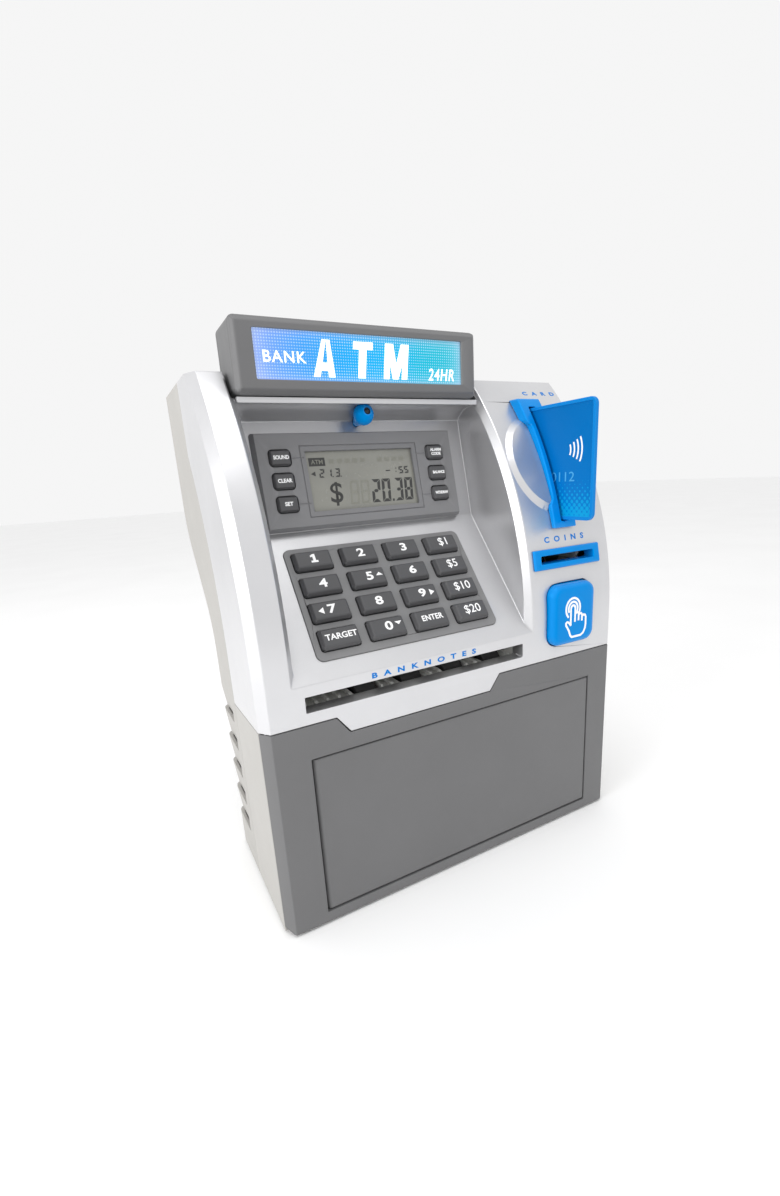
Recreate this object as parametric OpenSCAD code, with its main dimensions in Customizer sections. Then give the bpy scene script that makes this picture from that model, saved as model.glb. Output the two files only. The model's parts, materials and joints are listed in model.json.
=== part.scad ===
// Toy cash machine savings bank with a motor note feed, coin slot, bank card,
// sixteen-key pad, small display and a locking vault door.
// X runs to the viewer's right, Y to the back, Z up. Millimetres.
// The origin is on the floor, under the middle of the whole bank, card included.

/* [Case] */
// Width of the case
body_w = 226; // [200:1:250]
// Height of the case without feet and sign
body_h = 274; // [260:1:290]
// Depth of the case at the floor
base_d = 97; // [90:1:110]
// Depth of the case near the top, measured from the lower front face
top_d = 139.7; // [125:0.1:150]
// Wall thickness of the moulded shells
wall = 2.5; // [1.8:0.1:3]
// Height where the front shell meets the lower case
split_z = 112; // [105:1:120]
// Visible seam between neighbouring shells
seam = 0.4; // [0.2:0.1:0.8]
// Height of the rubber feet below the case
foot_h = 1.5; // [1:0.1:4]

/* [Front face] */
// Radius of the front face's backward curve
face_r = 201.5; // [180:0.5:230]
// Height where the curve starts
face_z = 135; // [125:1:145]
// Corner chamfer, measured across the front
chamfer_w = 4.3; // [2:0.1:6]
// Corner chamfer, measured along the side
chamfer_d = 5.7; // [2:0.1:8]

/* [Recess] */
// Left wall of the recess
recess_x0 = -94; // [-100:0.5:-80]
// Right wall of the recess
recess_x1 = 43.5; // [35:0.5:50]
// Height of the front lip of the key shelf
lip_z = 131.5; // [128:0.5:134]
// Lean of the key shelf away from upright, in degrees
shelf_lean = 38.97; // [30:0.01:45]
// Lean of the display wall away from upright, in degrees
display_lean = 12.37; // [5:0.01:20]
// Length of the key shelf up its slope
shelf_len = 83.6; // [78:0.1:88]

/* [Sign] */
// Centre of the sign and of the recess fittings
sign_x = -27; // [-32:0.5:-22]
// Width of the sign
sign_w = 135; // [120:1:136]
// Height of the sign's underside
sign_z0 = 262; // [262:0.1:264]
// Height of the sign's top edge
sign_z1 = 295.7; // [285:0.1:300]
// Front of the sign
sign_y0 = 40.5; // [36:0.1:44]
// Back of the sign
sign_y1 = 68.3; // [60:0.1:70]

/* [Keys] */
// Spacing of the keys across
key_dx = 26; // [22:0.5:27]
// Spacing of the keys up the slope
key_dy = 14.8; // [13:0.1:16]
// Width of one key
key_w = 20.4; // [16:0.1:22]
// Height of one key up the slope
key_h = 10.8; // [8:0.1:12]
// Key travel
key_travel = 1; // [0.5:0.1:1.5]

/* [Right column] */
// Centre of the card, coin and touch fittings
column_x = 74.6; // [70:0.1:80]
// Height of the card
card_h = 63.2; // [54:0.1:66]
// Length of the card, most of it inside the bank
card_l = 88; // [80:1:95]
// Underside of the card
card_z = 192.4; // [188:0.1:196]
// Front edge of the card, in front of the lower face
card_y = -15.3; // [-20:0.1:0]
// Width of the touch button
touch_w = 34; // [25:0.5:36]
// Height of the touch button
touch_h = 36.4; // [25:0.1:38]

/* [Vault] */
// Left edge of the door opening
door_x0 = -91; // [-95:0.5:-80]
// Right edge of the door opening
door_x1 = 92.6; // [80:0.1:95]
// Lower edge of the door opening
door_z0 = 5.8; // [5:0.1:10]
// Upper edge of the door opening
door_z1 = 94.1; // [85:0.1:98]

/* [Note feed] */
// Left end of the banknote slot
note_x0 = -91; // [-95:0.5:-80]
// Right end of the banknote slot
note_x1 = 39; // [30:0.5:40]
// Lower edge of the banknote slot
note_z0 = 118; // [116:0.1:120]
// Upper edge of the banknote slot
note_z1 = 126; // [124:0.1:128]
// Gear tooth size
module_mm = 0.6; // [0.5:0.1:0.8]
// Teeth of the large gear
gear_teeth = 33; // [27:1:36]
// Teeth of the motor pinion
pinion_teeth = 11; // [10:1:13]

/* [View] */
// Which node to draw

/* [Hidden] */
hw = body_w / 2;
far = 400;

// Case split between front and rear shells
part_y = 57;
part_r = 195;
part_top_y = 86.4;
side_drop = 3.5;

// Rear outline: upright, hollow bend, slope, full bend, upright
rear_z0 = 130;
rear_r0 = 45;
rear_r1 = 35;
rear_lean = 40;
rear_edge_r = 5;
rear_z1 = 210;

// Louvres in the sides of the rear shell
louvre_n = 5;
louvre_top = 93.5;
louvre_pitch = 17.8;
louvre_in = 2.2;
louvre_y0 = 66;

// Recess outline
shelf_y = shelf_len * sin(shelf_lean);
shelf_z = lip_z + shelf_len * cos(shelf_lean);
cove_z = 252.5;
cove_y = shelf_y + (cove_z - shelf_z) * tan(display_lean);
cove_front_y = 45;
cove_front_z = 259;
cove_r = 19.9;
notch_z = 261.5;
notch_y = 70;
recess_edge_w = 3;
recess_edge_d = 4;

// Ball camera under the sign
eye_x = -25;
eye_y = 54.2;
eye_z = 254.8;
eye_r = 5.6;
eye_stem = -107;
eye_stem_r = 1.8;
eye_look = 76;

// Display panel, in the display wall's own frame
panel_v = 25.9;
panel_x = -26.3;
panel_w = 116.5;
panel_h = 48;
panel_t = 4.5;
panel_skin = 1.8;
lcd_v = 24.9;
lcd_w = 64.2;
lcd_h = 31.6;
side_btn_w = 11.2;
side_btn_h = 8.2;
side_btn_dv = 11.85;
side_btn_dx = 46.5;

// Key panel, in the key shelf's own frame
pad_x = -27.4;
pad_s = 41.3;
pad_w = 106.6;
pad_h = 63.2;
pad_face = 0.8;
key_s0 = 19.7;
key_x0 = -67;
key_gap = 0.4;
dome_top = -5.3;

// Coin fittings, as arc length above the curve's start
coin_s = 36.4;
coin_w = 51.5;
coin_h = 12;
coin_slot_w = 40.5;
coin_slot_h = 4.5;

// Card fittings
card_t = 2.2;
card_slot_w = 5;
bracket_w = 16.8;
bracket_mid_w = 12;
bracket_z0 = 188;
bracket_z1 = 261.3;
bracket_block = 13;
bracket_lift_y = 0.42;
bracket_lift_z = 10;
bracket_neck_w = 8.6;
disc_r = 27.5;
disc_s = 93;
disc_up = 2;

// Touch button
touch_z = 138.2;
touch_r = 7;
touch_up = 4;

// Vault door hinge
hinge_x = -87.4;
hinge_y = 3.4;
barrel_r = 3;
pin_r = 1;
pin_fit = 0.05;
door_gap = 0.8;

// Latch
latch_z = 50;
latch_y = 9.4;
latch_throw = 6;
bolt_w = 6;

// Vault box
vault_x0 = -89;
vault_x1 = 97;
vault_y0 = 14;
vault_y1 = 76;
vault_z0 = 2.5;
vault_z1 = 92;

// Note feed
feed_y = 20;
feed_z = 113;
drive_r = 7.5;
idler_r = 7.2;
idler_z = 128.1;
shaft_r = 2;
roller_w = 12;
roller_n = 4;
roller_dx = 27;
roller_x0 = -54;
gear_x = -97.2;
gear_w = 3.4;
centres = module_mm * (gear_teeth + pinion_teeth) / 2;
motor_y = feed_y + centres * cos(45);
motor_z = feed_z - centres * sin(45);
motor_r = 9.8;
cheek_t = 2;

// Battery bay
bay_w = 66;
bay_z0 = 18;
bay_z1 = 68;
bay_y = 80;
hatch_over = 2;

// Case screws
screw_x = 105.5;
screw_r = 1.5;
post_r = 5.2;

// Colours
silver = [0.80, 0.80, 0.82];
warm_grey = [0.72, 0.71, 0.69];
dark_grey = [0.42, 0.42, 0.43];
key_grey = [0.26, 0.26, 0.27];
bright_blue = [0.01, 0.50, 0.90];
card_blue = [0.0, 0.42, 0.74];
white_abs = [0.90, 0.90, 0.88];
board_green = [0.10, 0.35, 0.18];
steel = [0.70, 0.70, 0.72];
black = [0.05, 0.05, 0.06];
$fn = 64;

// ---------- Helpers ----------

// The case frame: the lower front face is y = 0 and the case's underside is z = 0
module in_case() {
    translate([0, -(card_y + top_d) / 2, foot_h]) children();
}

module box(x0, x1, y0, y1, z0, z1) {
    translate([x0, y0, z0]) cube([x1 - x0, y1 - y0, z1 - z0]);
}

module x_cyl(r, x0, x1, y, z) {
    translate([x0, y, z]) rotate([0, 90, 0]) cylinder(r = r, h = x1 - x0, $fn = 128);
}

module y_cyl(r, x, y0, y1, z) {
    translate([x, y0, z]) rotate([-90, 0, 0]) cylinder(r = r, h = y1 - y0);
}

module z_cyl(r, x, y, z0, z1) {
    translate([x, y, z0]) cylinder(r = r, h = z1 - z0);
}

// A side-view outline of [y, z] points, drawn out along X
module yz_prism(x0, x1, pts) {
    translate([x0, 0, 0]) rotate([90, 0, 90]) linear_extrude(x1 - x0) polygon(pts);
}

// A front-view outline of [x, z] points, drawn out along Y
module xz_prism(y0, y1, pts) {
    translate([0, y1, 0]) rotate([90, 0, 0]) linear_extrude(y1 - y0) polygon(pts);
}

module round_rect(w, h, r) {
    square([w - 2 * r, h], center = true);
    square([w, h - 2 * r], center = true);
    for (x = [-1, 1], y = [-1, 1])
        translate([x * (w / 2 - r), y * (h / 2 - r)]) circle(r);
}

// Angle of an arc length on the curved face
function face_deg(s) = s / face_r * 180 / PI;

// Sweeps a [x, outward] outline up the curved face between two arc lengths
module face_sweep(s0, s1) {
    translate([0, face_r, face_z]) rotate([90, 0, -90]) rotate([0, 0, face_deg(s0)])
        rotate_extrude(angle = face_deg(s1 - s0), $fn = 200)
            translate([face_r, 0]) rotate(-90) children();
}

// Draws an outline straight up the lower, upright part of the face
module face_straight(z0, z1) {
    translate([0, 0, z0]) linear_extrude(z1 - z0) mirror([0, 1]) children();
}

// Sits children on the face: local Z is the outward normal, local Y runs up the face
module on_face(x, s) {
    a = face_deg(s);
    translate([x, face_r - face_r * cos(a), face_z + face_r * sin(a)])
        rotate([90 - a, 0, 0]) children();
}

// Sits children on the key shelf, s millimetres up its slope
module on_shelf(x, s) {
    translate([x, s * sin(shelf_lean), lip_z + s * cos(shelf_lean)])
        rotate([90 - shelf_lean, 0, 0]) children();
}

// Sits children on the display wall, v millimetres up from the shelf
module on_display(x, v) {
    translate([x, shelf_y + v * sin(display_lean), shelf_z + v * cos(display_lean)])
        rotate([90 - display_lean, 0, 0]) children();
}

// ---------- Case envelope ----------

// Everything behind the front face, moved in by t
module behind_face(t) {
    box(-far, far, t, far, -far, face_z);
    x_cyl(face_r - t, -far, far, face_r, face_z);
}

// Everything in front of the split between the front and rear shells
module before_split(gap) {
    difference() {
        box(-far, far, -far, part_top_y - gap, -far, far);
        box(-far - 1, far + 1, part_y - gap, far, -far - 1, face_z);
        x_cyl(part_r + gap, -far - 1, far + 1, part_y + part_r, face_z);
    }
}

// Side-view points up the rear outline, moved in by t
function rear_outline(t) = concat(
    [[base_d - t, -2]],
    [for (a = [0 : 5 : rear_lean])
        [base_d + rear_r0 - (rear_r0 + t) * cos(a), rear_z0 + (rear_r0 + t) * sin(a)]],
    [for (a = [rear_lean : -5 : 0])
        [top_d - rear_r1 + (rear_r1 - t) * cos(a), rear_z1 - (rear_r1 - t) * sin(a)]],
    [[top_d - t, body_h + 2]]
);

// Everything in front of the rear outline, moved in by t
module before_rear(t) {
    yz_prism(-far, far, concat([[-far, -2]], rear_outline(t), [[-far, body_h + 2]]));
}

// The outer corner chamfer of the front face, on both sides
module front_chamfers() {
    for (m = [0, 1]) mirror([m, 0, 0]) {
        face_straight(-1, face_z) chamfer_outline();
        face_sweep(0, 175) chamfer_outline();
    }
}

module chamfer_outline() {
    polygon([
        [hw - 2 * chamfer_w, chamfer_d],
        [hw + chamfer_w, -2 * chamfer_d],
        [hw + chamfer_w, chamfer_d]
    ]);
}

// The chamfers along both inner edges of the recess, which die out on the key shelf
module recess_chamfers() {
    intersection() {
        for (edge = [[recess_x0, -1], [recess_x1, 1]]) {
            face_straight(lip_z - 1, face_z) recess_edge_outline(edge[0], edge[1]);
            face_sweep(0, 175) recess_edge_outline(edge[0], edge[1]);
        }
        yz_prism(-far, far, [
            [-60, lip_z], [0, lip_z], [shelf_y, shelf_z], [shelf_y, far], [-60, far]
        ]);
    }
}

module recess_edge_outline(x, side) {
    polygon([
        [x + side * recess_edge_w * 2, recess_edge_d],
        [x, -recess_edge_d],
        [x, recess_edge_d]
    ]);
}

// The space in front of the shelf, display wall and cove; back moves it inwards
module recess(back, side) {
    x0 = recess_x0 - side;
    x1 = recess_x1 + side;
    yz_prism(x0, x1, [
        [-60, lip_z], [back, lip_z], [shelf_y + back, shelf_z], [cove_y + back, cove_z + back / 2],
        [cove_front_y, cove_front_z + back / 2], [-60, cove_front_z + back / 2]
    ]);
    intersection() {
        x_cyl(cove_r + back / 2, x0, x1, 49.8, 239.7);
        box(x0, x1, cove_front_y, cove_y + back, cove_z, far);
    }
    box(x0, x1, -60, cove_front_y, cove_front_z - 1, far);
}

// The raised notch that the sign sits in
module sign_notch() {
    box(recess_x0 - 2.2, recess_x1 - 0.5, -60, notch_y, notch_z, far);
}

// Space below the front shell's lower edge
module below_split() {
    yz_prism(-far, far, [
        [-far, split_z], [chamfer_d, split_z], [part_y + 1, split_z - side_drop],
        [part_y + 1, -far], [-far, -far]
    ]);
}

// The tab that the front shell drops into the lower fascia
module tab(grow) {
    xz_prism(-1, wall, [
        [-77 - grow, split_z + 1], [-69.5 - grow, split_z - 9 - grow],
        [15.5 + grow, split_z - 9 - grow], [23 + grow, split_z + 1]
    ]);
}

// ---------- Front shell ----------

module front_shell() {
    color(silver) in_case() difference() {
        union() {
            difference() {
                intersection() {
                    behind_face(0);
                    before_split(seam / 2);
                    box(-hw, hw, -1, far, 0, body_h);
                }
                intersection() {
                    behind_face(wall);
                    box(-hw + wall, hw - wall, 0, far, -1, body_h - wall);
                }
                below_split();
            }
            intersection() {
                behind_face(0);
                box(-hw + 1, hw - 1, 0, cove_y + 4, lip_z - 3, body_h);
                recess_walls();
            }
            intersection() {
                box(recess_x0 - 4.7, recess_x1 + 2, 0, notch_y + wall, notch_z - wall, body_h);
                behind_face(0);
                difference() {
                    box(-hw, hw, 0, far, 0, far);
                    box(recess_x0 - 2.2, recess_x1 - 0.5, -1, notch_y, notch_z, far);
                    box(recess_x0, recess_x1, -1, cove_front_y, -1, far);
                    recess(0, 0);
                }
            }
            difference() {
                tab(0);
                box(-far, far, -2, 0, 0, far);
            }
            slot_throat();
            raised_disc();
            pad_rim();
            front_posts();
        }
        front_chamfers();
        recess(0, 0);
        sign_notch();
        recess_chamfers();
        front_openings();
    }
}

// Walls of the recess, before the recess itself is cut
module recess_walls() {
    recess(3.2, wall);
}

module slot_throat() {
    difference() {
        box(note_x0 - 2, note_x1 + 2, 0.5, 9, note_z0 - 1.8, note_z1 + 1.8);
        box(note_x0, note_x1, -1, 10, note_z0, note_z1);
    }
}

module raised_disc() {
    difference() {
        intersection() {
            on_face(column_x, disc_s) translate([0, 0, -10])
                cylinder(r1 = disc_r + 15, r2 = disc_r - 18, h = 22, $fn = 96);
            behind_face(-disc_up);
        }
        behind_face(0.5);
        bracket_outline(0.25);
    }
}

module pad_rim() {
    on_shelf(pad_x, pad_s) translate([0, 0, -0.5]) linear_extrude(1.7) difference() {
        round_rect(pad_w + 5, pad_h + 5, 5);
        round_rect(pad_w + 0.6, pad_h + 0.6, 3.8);
    }
}

// Screw posts that rise from the front and side walls
module front_posts() {
    for (x = [-screw_x, screw_x]) {
        y_cyl(post_r, x, 3, part_y - seam, split_z + 12);
        difference() {
            y_cyl(post_r, x, 30, part_top_y - seam, 258);
            difference() {
                box(-far, far, -far, far, -far, far);
                behind_face(1);
            }
        }
    }
}

module front_openings() {
    // Banknote slot
    box(note_x0, note_x1, -2, 12, note_z0, note_z1);
    // Display window in the recess wall
    on_display(panel_x, panel_v) translate([0, 0, -8])
        linear_extrude(10) square([106, 40], center = true);
    // Key panel window
    on_shelf(pad_x, pad_s) translate([0, 0, -8])
        linear_extrude(16) round_rect(pad_w + 0.4, pad_h + 0.4, 3.8);
    // Coin frame
    on_face(column_x, coin_s) translate([0, 0, -6])
        linear_extrude(10) square([coin_w - 4, coin_h - 3], center = true);
    // Card bracket neck
    face_sweep(54.3, 134.7) translate([column_x, 0])
        square([bracket_neck_w + 0.4, 12], center = true);
    // Touch button
    translate([column_x, 10, touch_z]) rotate([90, 0, 0]) linear_extrude(20)
        round_rect(touch_w + 0.9, touch_h + 0.9, touch_r + 0.4);
    // Eye socket
    eye_form(0.3);
    // Sign pegs
    for (x = [sign_x - 48, sign_x + 48]) z_cyl(3.1, x, 60, notch_z - 2.4, notch_z + 1);
    // Screw pilots
    for (x = [-screw_x, screw_x]) {
        y_cyl(screw_r + 0.05, x, 30, part_y + 1, split_z + 12);
        y_cyl(screw_r + 0.05, x, 62, part_top_y + 1, 258);
    }
}

// ---------- Lower case ----------

module lower_fascia() {
    t = wall;
    color(dark_grey) in_case() difference() {
        union() {
            difference() {
                linear_extrude(split_z - seam) difference() {
                    polygon([
                        [-hw, chamfer_d], [-hw + chamfer_w, 0],
                        [hw - chamfer_w, 0], [hw, chamfer_d]
                    ]);
                    polygon([
                        [-hw + t + 0.8, chamfer_d + 1], [-hw + t + 0.8, chamfer_d],
                        [-hw + chamfer_w + 0.9, t],
                        [hw - chamfer_w - 0.9, t], [hw - t - 0.8, chamfer_d],
                        [hw - t - 0.8, chamfer_d + 1]
                    ]);
                }
                tab(seam);
            }
            hinge_lugs();
            latch_guide();
        }
        // Door opening and its frame bevel
        box(door_x0, door_x1, -1, 2.6, door_z0, door_z1);
        // Bright bevel along the top edge
        yz_prism(-far, far, [[-1, split_z - seam - 1.4], [1.4, split_z - seam + 1], [-1, split_z]]);
        // Rounded lower corners, seen from the front
        for (m = [0, 1]) mirror([m, 0, 0])
            xz_prism(-1, 12, [[hw - 5, -1], [hw - 3.4, 0], [hw, 3.4], [hw + 1, 5], [hw + 1, -1]]);
        hinge_bores(pin_r + 0.02);
        box(84, 106, latch_y - bolt_w / 2 - 0.4, latch_y + bolt_w / 2 + 0.4,
            latch_z - bolt_w / 2 - 0.4, latch_z + bolt_w / 2 + 0.4);
    }
}

// Ears behind the opening that hold the hinge pins
module hinge_lugs() {
    for (z = [[wall + 0.2, door_z0 - 0.2], [door_z1 + 0.2, 99.5]])
        box(hinge_x - 5, hinge_x + 4, 1.5, hinge_y + 2.6, z[0], z[1]);
}

module hinge_bores(r) {
    z_cyl(r, hinge_x, hinge_y, wall + 0.8, 12);
    z_cyl(r, hinge_x, hinge_y, door_z1 - 6, 98.5);
}

// A sleeve behind the fascia that the latch bolt slides in
module latch_guide() {
    box(95, 98, 1.5, 13, latch_z - 6, latch_z + 6);
}

module vault_door() {
    x0 = hinge_x;
    x1 = door_x1 - door_gap;
    z0 = door_z0 + door_gap;
    z1 = door_z1 - door_gap;
    color(dark_grey) in_case() difference() {
        union() {
            box(x0, x1, 0.4, hinge_y, z0, z1);
            z_cyl(barrel_r, hinge_x, hinge_y, z0, z1);
            // Stiffening ribs on the back
            for (z = [z0 + 6, z1 - 8]) box(x0, x1 - 8, hinge_y - 1, hinge_y + 2, z, z + 2);
            box(x1 - 12, x1 - 10, hinge_y - 1, hinge_y + 2, z0 + 6, z1 - 6);
            // Strike for the latch
            box(x1 - 8, x1 - 1, hinge_y - 1, 15.4, latch_z - 8, latch_z + 8);
        }
        // Softened front edge
        for (z = [[z0, 1], [z1, -1]])
            yz_prism(x0 - 4, x1 + 1, [[0, z[0] - z[1]], [0, z[0] + z[1]], [2, z[0] - z[1]]]);
        hinge_bores(pin_r + pin_fit);
        // Slot across the strike that the bolt enters
        box(x1 - latch_throw, x1 + 1, latch_y - bolt_w / 2 - 0.5, latch_y + bolt_w / 2 + 0.5,
            latch_z - 9, latch_z + 9);
    }
}

module door_pins() {
    color(steel) in_case() hinge_pins();
}

module hinge_pins() {
    z_cyl(pin_r, hinge_x, hinge_y, wall + 1, 11.8);
    z_cyl(pin_r, hinge_x, hinge_y, door_z1 - 5.8, 98.3);
}

module base_frame() {
    color(warm_grey) in_case() difference() {
        union() {
            difference() {
                box(-hw, hw, chamfer_d + seam, part_y - seam / 2, 0, split_z - seam);
                box(-hw + wall, hw - wall, 0, far, wall, far);
                translate([0, 0, -seam]) top_of_side();
            }
            linear_extrude(wall) polygon([
                [-hw + wall + 1, chamfer_d + 2], [-hw + wall + 1, chamfer_d + 0.2],
                [-hw + chamfer_w + 1.2, wall + 0.2], [hw - chamfer_w - 1.2, wall + 0.2],
                [hw - wall - 1, chamfer_d + 0.2], [hw - wall - 1, chamfer_d + 2]
            ]);
            for (x = [-screw_x, screw_x]) y_cyl(post_r, x, 20, part_y - seam, 12);
        }
        for (x = [-screw_x, screw_x]) y_cyl(screw_r + 0.05, x, 30, part_y + 1, 12);
        foot_seats();
    }
}

module top_of_side() {
    yz_prism(-far, far, [
        [chamfer_d - 1, split_z], [chamfer_d, split_z], [part_y + 1, split_z - side_drop],
        [part_y + 1, far], [chamfer_d - 1, far]
    ]);
}

// ---------- Rear shell ----------

module rear_shell() {
    color(warm_grey) in_case() difference() {
        union() {
            difference() {
                intersection() {
                    before_rear(0);
                    box(-hw, hw, 0, far, 0, body_h);
                    behind_split();
                }
                intersection() {
                    before_rear(wall);
                    box(-hw + wall, hw - wall, -1, far, wall, body_h - wall);
                }
            }
            louvre_pads();
            battery_walls();
            rear_posts();
        }
        rear_corners();
        louvre_cuts();
        // Battery hatch rebate and opening
        box(-bay_w / 2 - hatch_over - 0.3, bay_w / 2 + hatch_over + 0.3,
            base_d - 2.3, base_d + 1, bay_z0 - hatch_over - 0.3, bay_z1 + hatch_over + 0.3);
        box(-bay_w / 2, bay_w / 2, bay_y, base_d + 1, bay_z0, bay_z1);
        foot_seats();
        rear_screw_holes();
    }
}

module behind_split() {
    difference() {
        box(-far + 1, far - 1, 0, far - 1, -far + 1, far - 1);
        before_split(-seam / 2);
    }
}

module louvre_pads() {
    for (m = [0, 1]) mirror([m, 0, 0])
        box(hw - 5.5, hw - wall + 0.1, louvre_y0 - 2, base_d - 0.5, 14, louvre_top + 6);
}

// Sloping scoops with a slot above each lip
module louvre_cuts() {
    for (m = [0, 1], i = [0 : louvre_n - 1]) mirror([m, 0, 0]) {
        z = louvre_top - i * louvre_pitch;
        top = i == 0 ? z + 15.5 : z + louvre_pitch;
        xz_prism(louvre_y0, base_d + 2, [
            [hw + 0.01, top], [hw - louvre_in, z], [hw + 1, z], [hw + 1, top]
        ]);
        xz_prism(louvre_y0 + 4, 90, [
            [hw - 1.7, z + 0.01], [hw - louvre_in + 0.1, z + 1.8],
            [hw - 7, z - 1.5], [hw - 7, z - 4.5]
        ]);
    }
}

module battery_walls() {
    difference() {
        box(-bay_w / 2 - 1.6, bay_w / 2 + 1.6, bay_y - 1.6, base_d - 1,
            bay_z0 - 4, bay_z1 + 4);
        box(-bay_w / 2, bay_w / 2, bay_y, base_d, bay_z0, bay_z1);
    }
}

// Deep tubes that carry the case screws, low, middle and high
function screw_rows() = [[12, part_y, base_d], [split_z + 12, part_y, base_d],
                         [258, part_top_y, top_d]];

module rear_posts() {
    for (x = [-screw_x, screw_x], row = screw_rows())
        y_cyl(post_r, x, row[1] + seam, row[2] - 1, row[0]);
}

module rear_screw_holes() {
    for (x = [-screw_x, screw_x], row = screw_rows()) {
        y_cyl(screw_r + 0.2, x, row[1] - 1, row[2], row[0]);
        y_cyl(3.5, x, row[1] + 5, row[2] + 1, row[0]);
    }
}

// Rounds the rear upright corners along the whole rear outline, with four flats
module rear_corners() {
    r = rear_edge_r;
    corner = concat(
        [for (a = [0 : 22.5 : 90]) [hw - r + r * cos(a), r * sin(a) - r]],
        [[hw - r, 2], [hw + 2, 2], [hw + 2, -r]]
    );
    levels = rear_outline(0);
    m = len(corner);
    n = len(levels);
    for (side = [0, 1]) mirror([side, 0, 0]) polyhedron(
        points = [for (p = levels, q = corner) [q[0], p[0] + q[1], p[1]]],
        faces = concat(
            [[for (j = [m - 1 : -1 : 0]) j]],
            [[for (j = [0 : m - 1]) (n - 1) * m + j]],
            [for (i = [0 : n - 2], j = [0 : m - 1]) let (k = (j + 1) % m)
                [i * m + j, i * m + k, (i + 1) * m + k, (i + 1) * m + j]]
        )
    );
}

module battery_door() {
    w = bay_w / 2 + hatch_over;
    color(warm_grey) in_case() difference() {
        union() {
            box(-w, w, base_d - 2.1, base_d, bay_z0 - hatch_over, bay_z1 + hatch_over);
            box(-6, 6, base_d - 4, base_d - 2, bay_z1 - 5, bay_z1 - 0.6);
        }
        // Finger grooves
        for (i = [0 : 3])
            box(-12, 12, base_d - 0.8, base_d + 1, bay_z1 - 8 - 2.4 * i, bay_z1 - 7 - 2.4 * i);
    }
}

module battery_contacts() {
    color(steel) in_case() for (side = [-1, 1], i = [0 : 2]) {
        z = bay_z0 + 8.3 + 16.7 * i;
        x = side * (bay_w / 2 - 0.5);
        box(x - 0.3, x + 0.3, bay_y + 1, base_d - 4.5, z - 6, z + 6);
        translate([x, (bay_y + base_d) / 2 - 1.6, z]) rotate([0, -90 * side, 0])
            cylinder(r1 = 3.6, r2 = 2.2, h = 4.5);
    }
}

module speaker() {
    color(black) in_case() {
        x_cyl(17.5, -hw + 5.5, -hw + 9, 76, 58);
        x_cyl(14, -hw + 8.9, -hw + 14, 76, 58);
        x_cyl(9, -hw + 13.9, -hw + 21, 76, 58);
    }
}

function foot_spots() = [[-98, 16], [98, 16], [-98, 86], [98, 86]];

module foot_seats() {
    for (p = foot_spots()) z_cyl(6.1, p[0], p[1], -1, 0.6);
}

module feet() {
    color(black) in_case() for (p = foot_spots())
        translate([p[0], p[1], -foot_h]) cylinder(r1 = 5.4, r2 = 6, h = foot_h + 0.6);
}

module case_screws() {
    color(steel) in_case() for (x = [-screw_x, screw_x], row = screw_rows()) {
        difference() {
            y_cyl(3.1, x, row[1] + 5.05, row[1] + 7.2, row[0]);
            for (a = [0, 90]) translate([x, row[1] + 7.5, row[0]]) rotate([0, a, 0])
                cube([4, 2, 0.8], center = true);
        }
        y_cyl(screw_r, x, row[1] - 14, row[1] + 5.1, row[0]);
    }
}

// ---------- Vault ----------

module vault_box() {
    t = 2;
    color(white_abs) in_case() difference() {
        box(vault_x0, vault_x1, vault_y0, vault_y1, vault_z0, vault_z1);
        box(vault_x0 + t, vault_x1 - t, vault_y0 - 1, vault_y1 - t, vault_z0 + t, vault_z1 + 1);
    }
}

module latch_bolt() {
    h = bolt_w / 2;
    x0 = door_x1 + 0.6;
    color(steel) in_case() {
        box(x0 + 1.5, 103, latch_y - h, latch_y + h, latch_z - h, latch_z + h);
        xz_prism(latch_y - h, latch_y + h, [
            [x0, latch_z - h + 1], [x0 + 1.6, latch_z - h], [x0 + 1.6, latch_z + h],
            [x0, latch_z + h - 1]
        ]);
        x_cyl(1.2, 102.9, 108.8, latch_y, latch_z);
    }
}

module latch_coil() {
    color(black) in_case() difference() {
        box(104.6, 110, latch_y - 3.4, latch_y + 3.6, latch_z - 7, latch_z + 7);
        x_cyl(1.5, 104, 111, latch_y, latch_z);
    }
}

// ---------- Sign ----------

module sign_housing() {
    x0 = sign_x - sign_w / 2;
    x1 = sign_x + sign_w / 2;
    b = 2.6;
    color(dark_grey) in_case() difference() {
        union() {
            box(x0, x1, sign_y0, sign_y1 - 2.2, sign_z0, sign_z1);
            for (x = [sign_x - 48, sign_x + 48]) z_cyl(3, x, 60, notch_z - 2.2, sign_z0 + 1);
        }
        box(x0 + wall, x1 - wall, sign_y0 + wall + 1, sign_y1, sign_z0 + wall, sign_z1 - wall);
        // Lens window and the rebate behind it
        box(sign_x - 57.2, sign_x + 57.2, sign_y0 - 1, sign_y1, 268.6, 290.3);
        box(sign_x - 59, sign_x + 59, sign_y0 + 1.5, sign_y1, 266.8, 292.1);
        // Front bevels: top, bottom and both ends
        yz_prism(x0 - 1, x1 + 1, [
            [sign_y0 - 1, sign_z1 - b - 1], [sign_y0 + b + 1, sign_z1 + 1],
            [sign_y0 - 1, sign_z1 + 1]
        ]);
        yz_prism(x0 - 1, x1 + 1, [
            [sign_y0 - 1, sign_z0 + b + 1], [sign_y0 + b + 1, sign_z0 - 1],
            [sign_y0 - 1, sign_z0 - 1]
        ]);
        for (e = [[x0, 1], [x1, -1]]) translate([0, 0, sign_z0 - 1]) linear_extrude(40) polygon([
            [e[0] - e[1], sign_y0 + b + 1], [e[0] + e[1] * (b + 1), sign_y0 - 1],
            [e[0] - e[1], sign_y0 - 1]
        ]);
        // Rounded corners, seen from the front
        sign_corners();
    }
}

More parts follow.
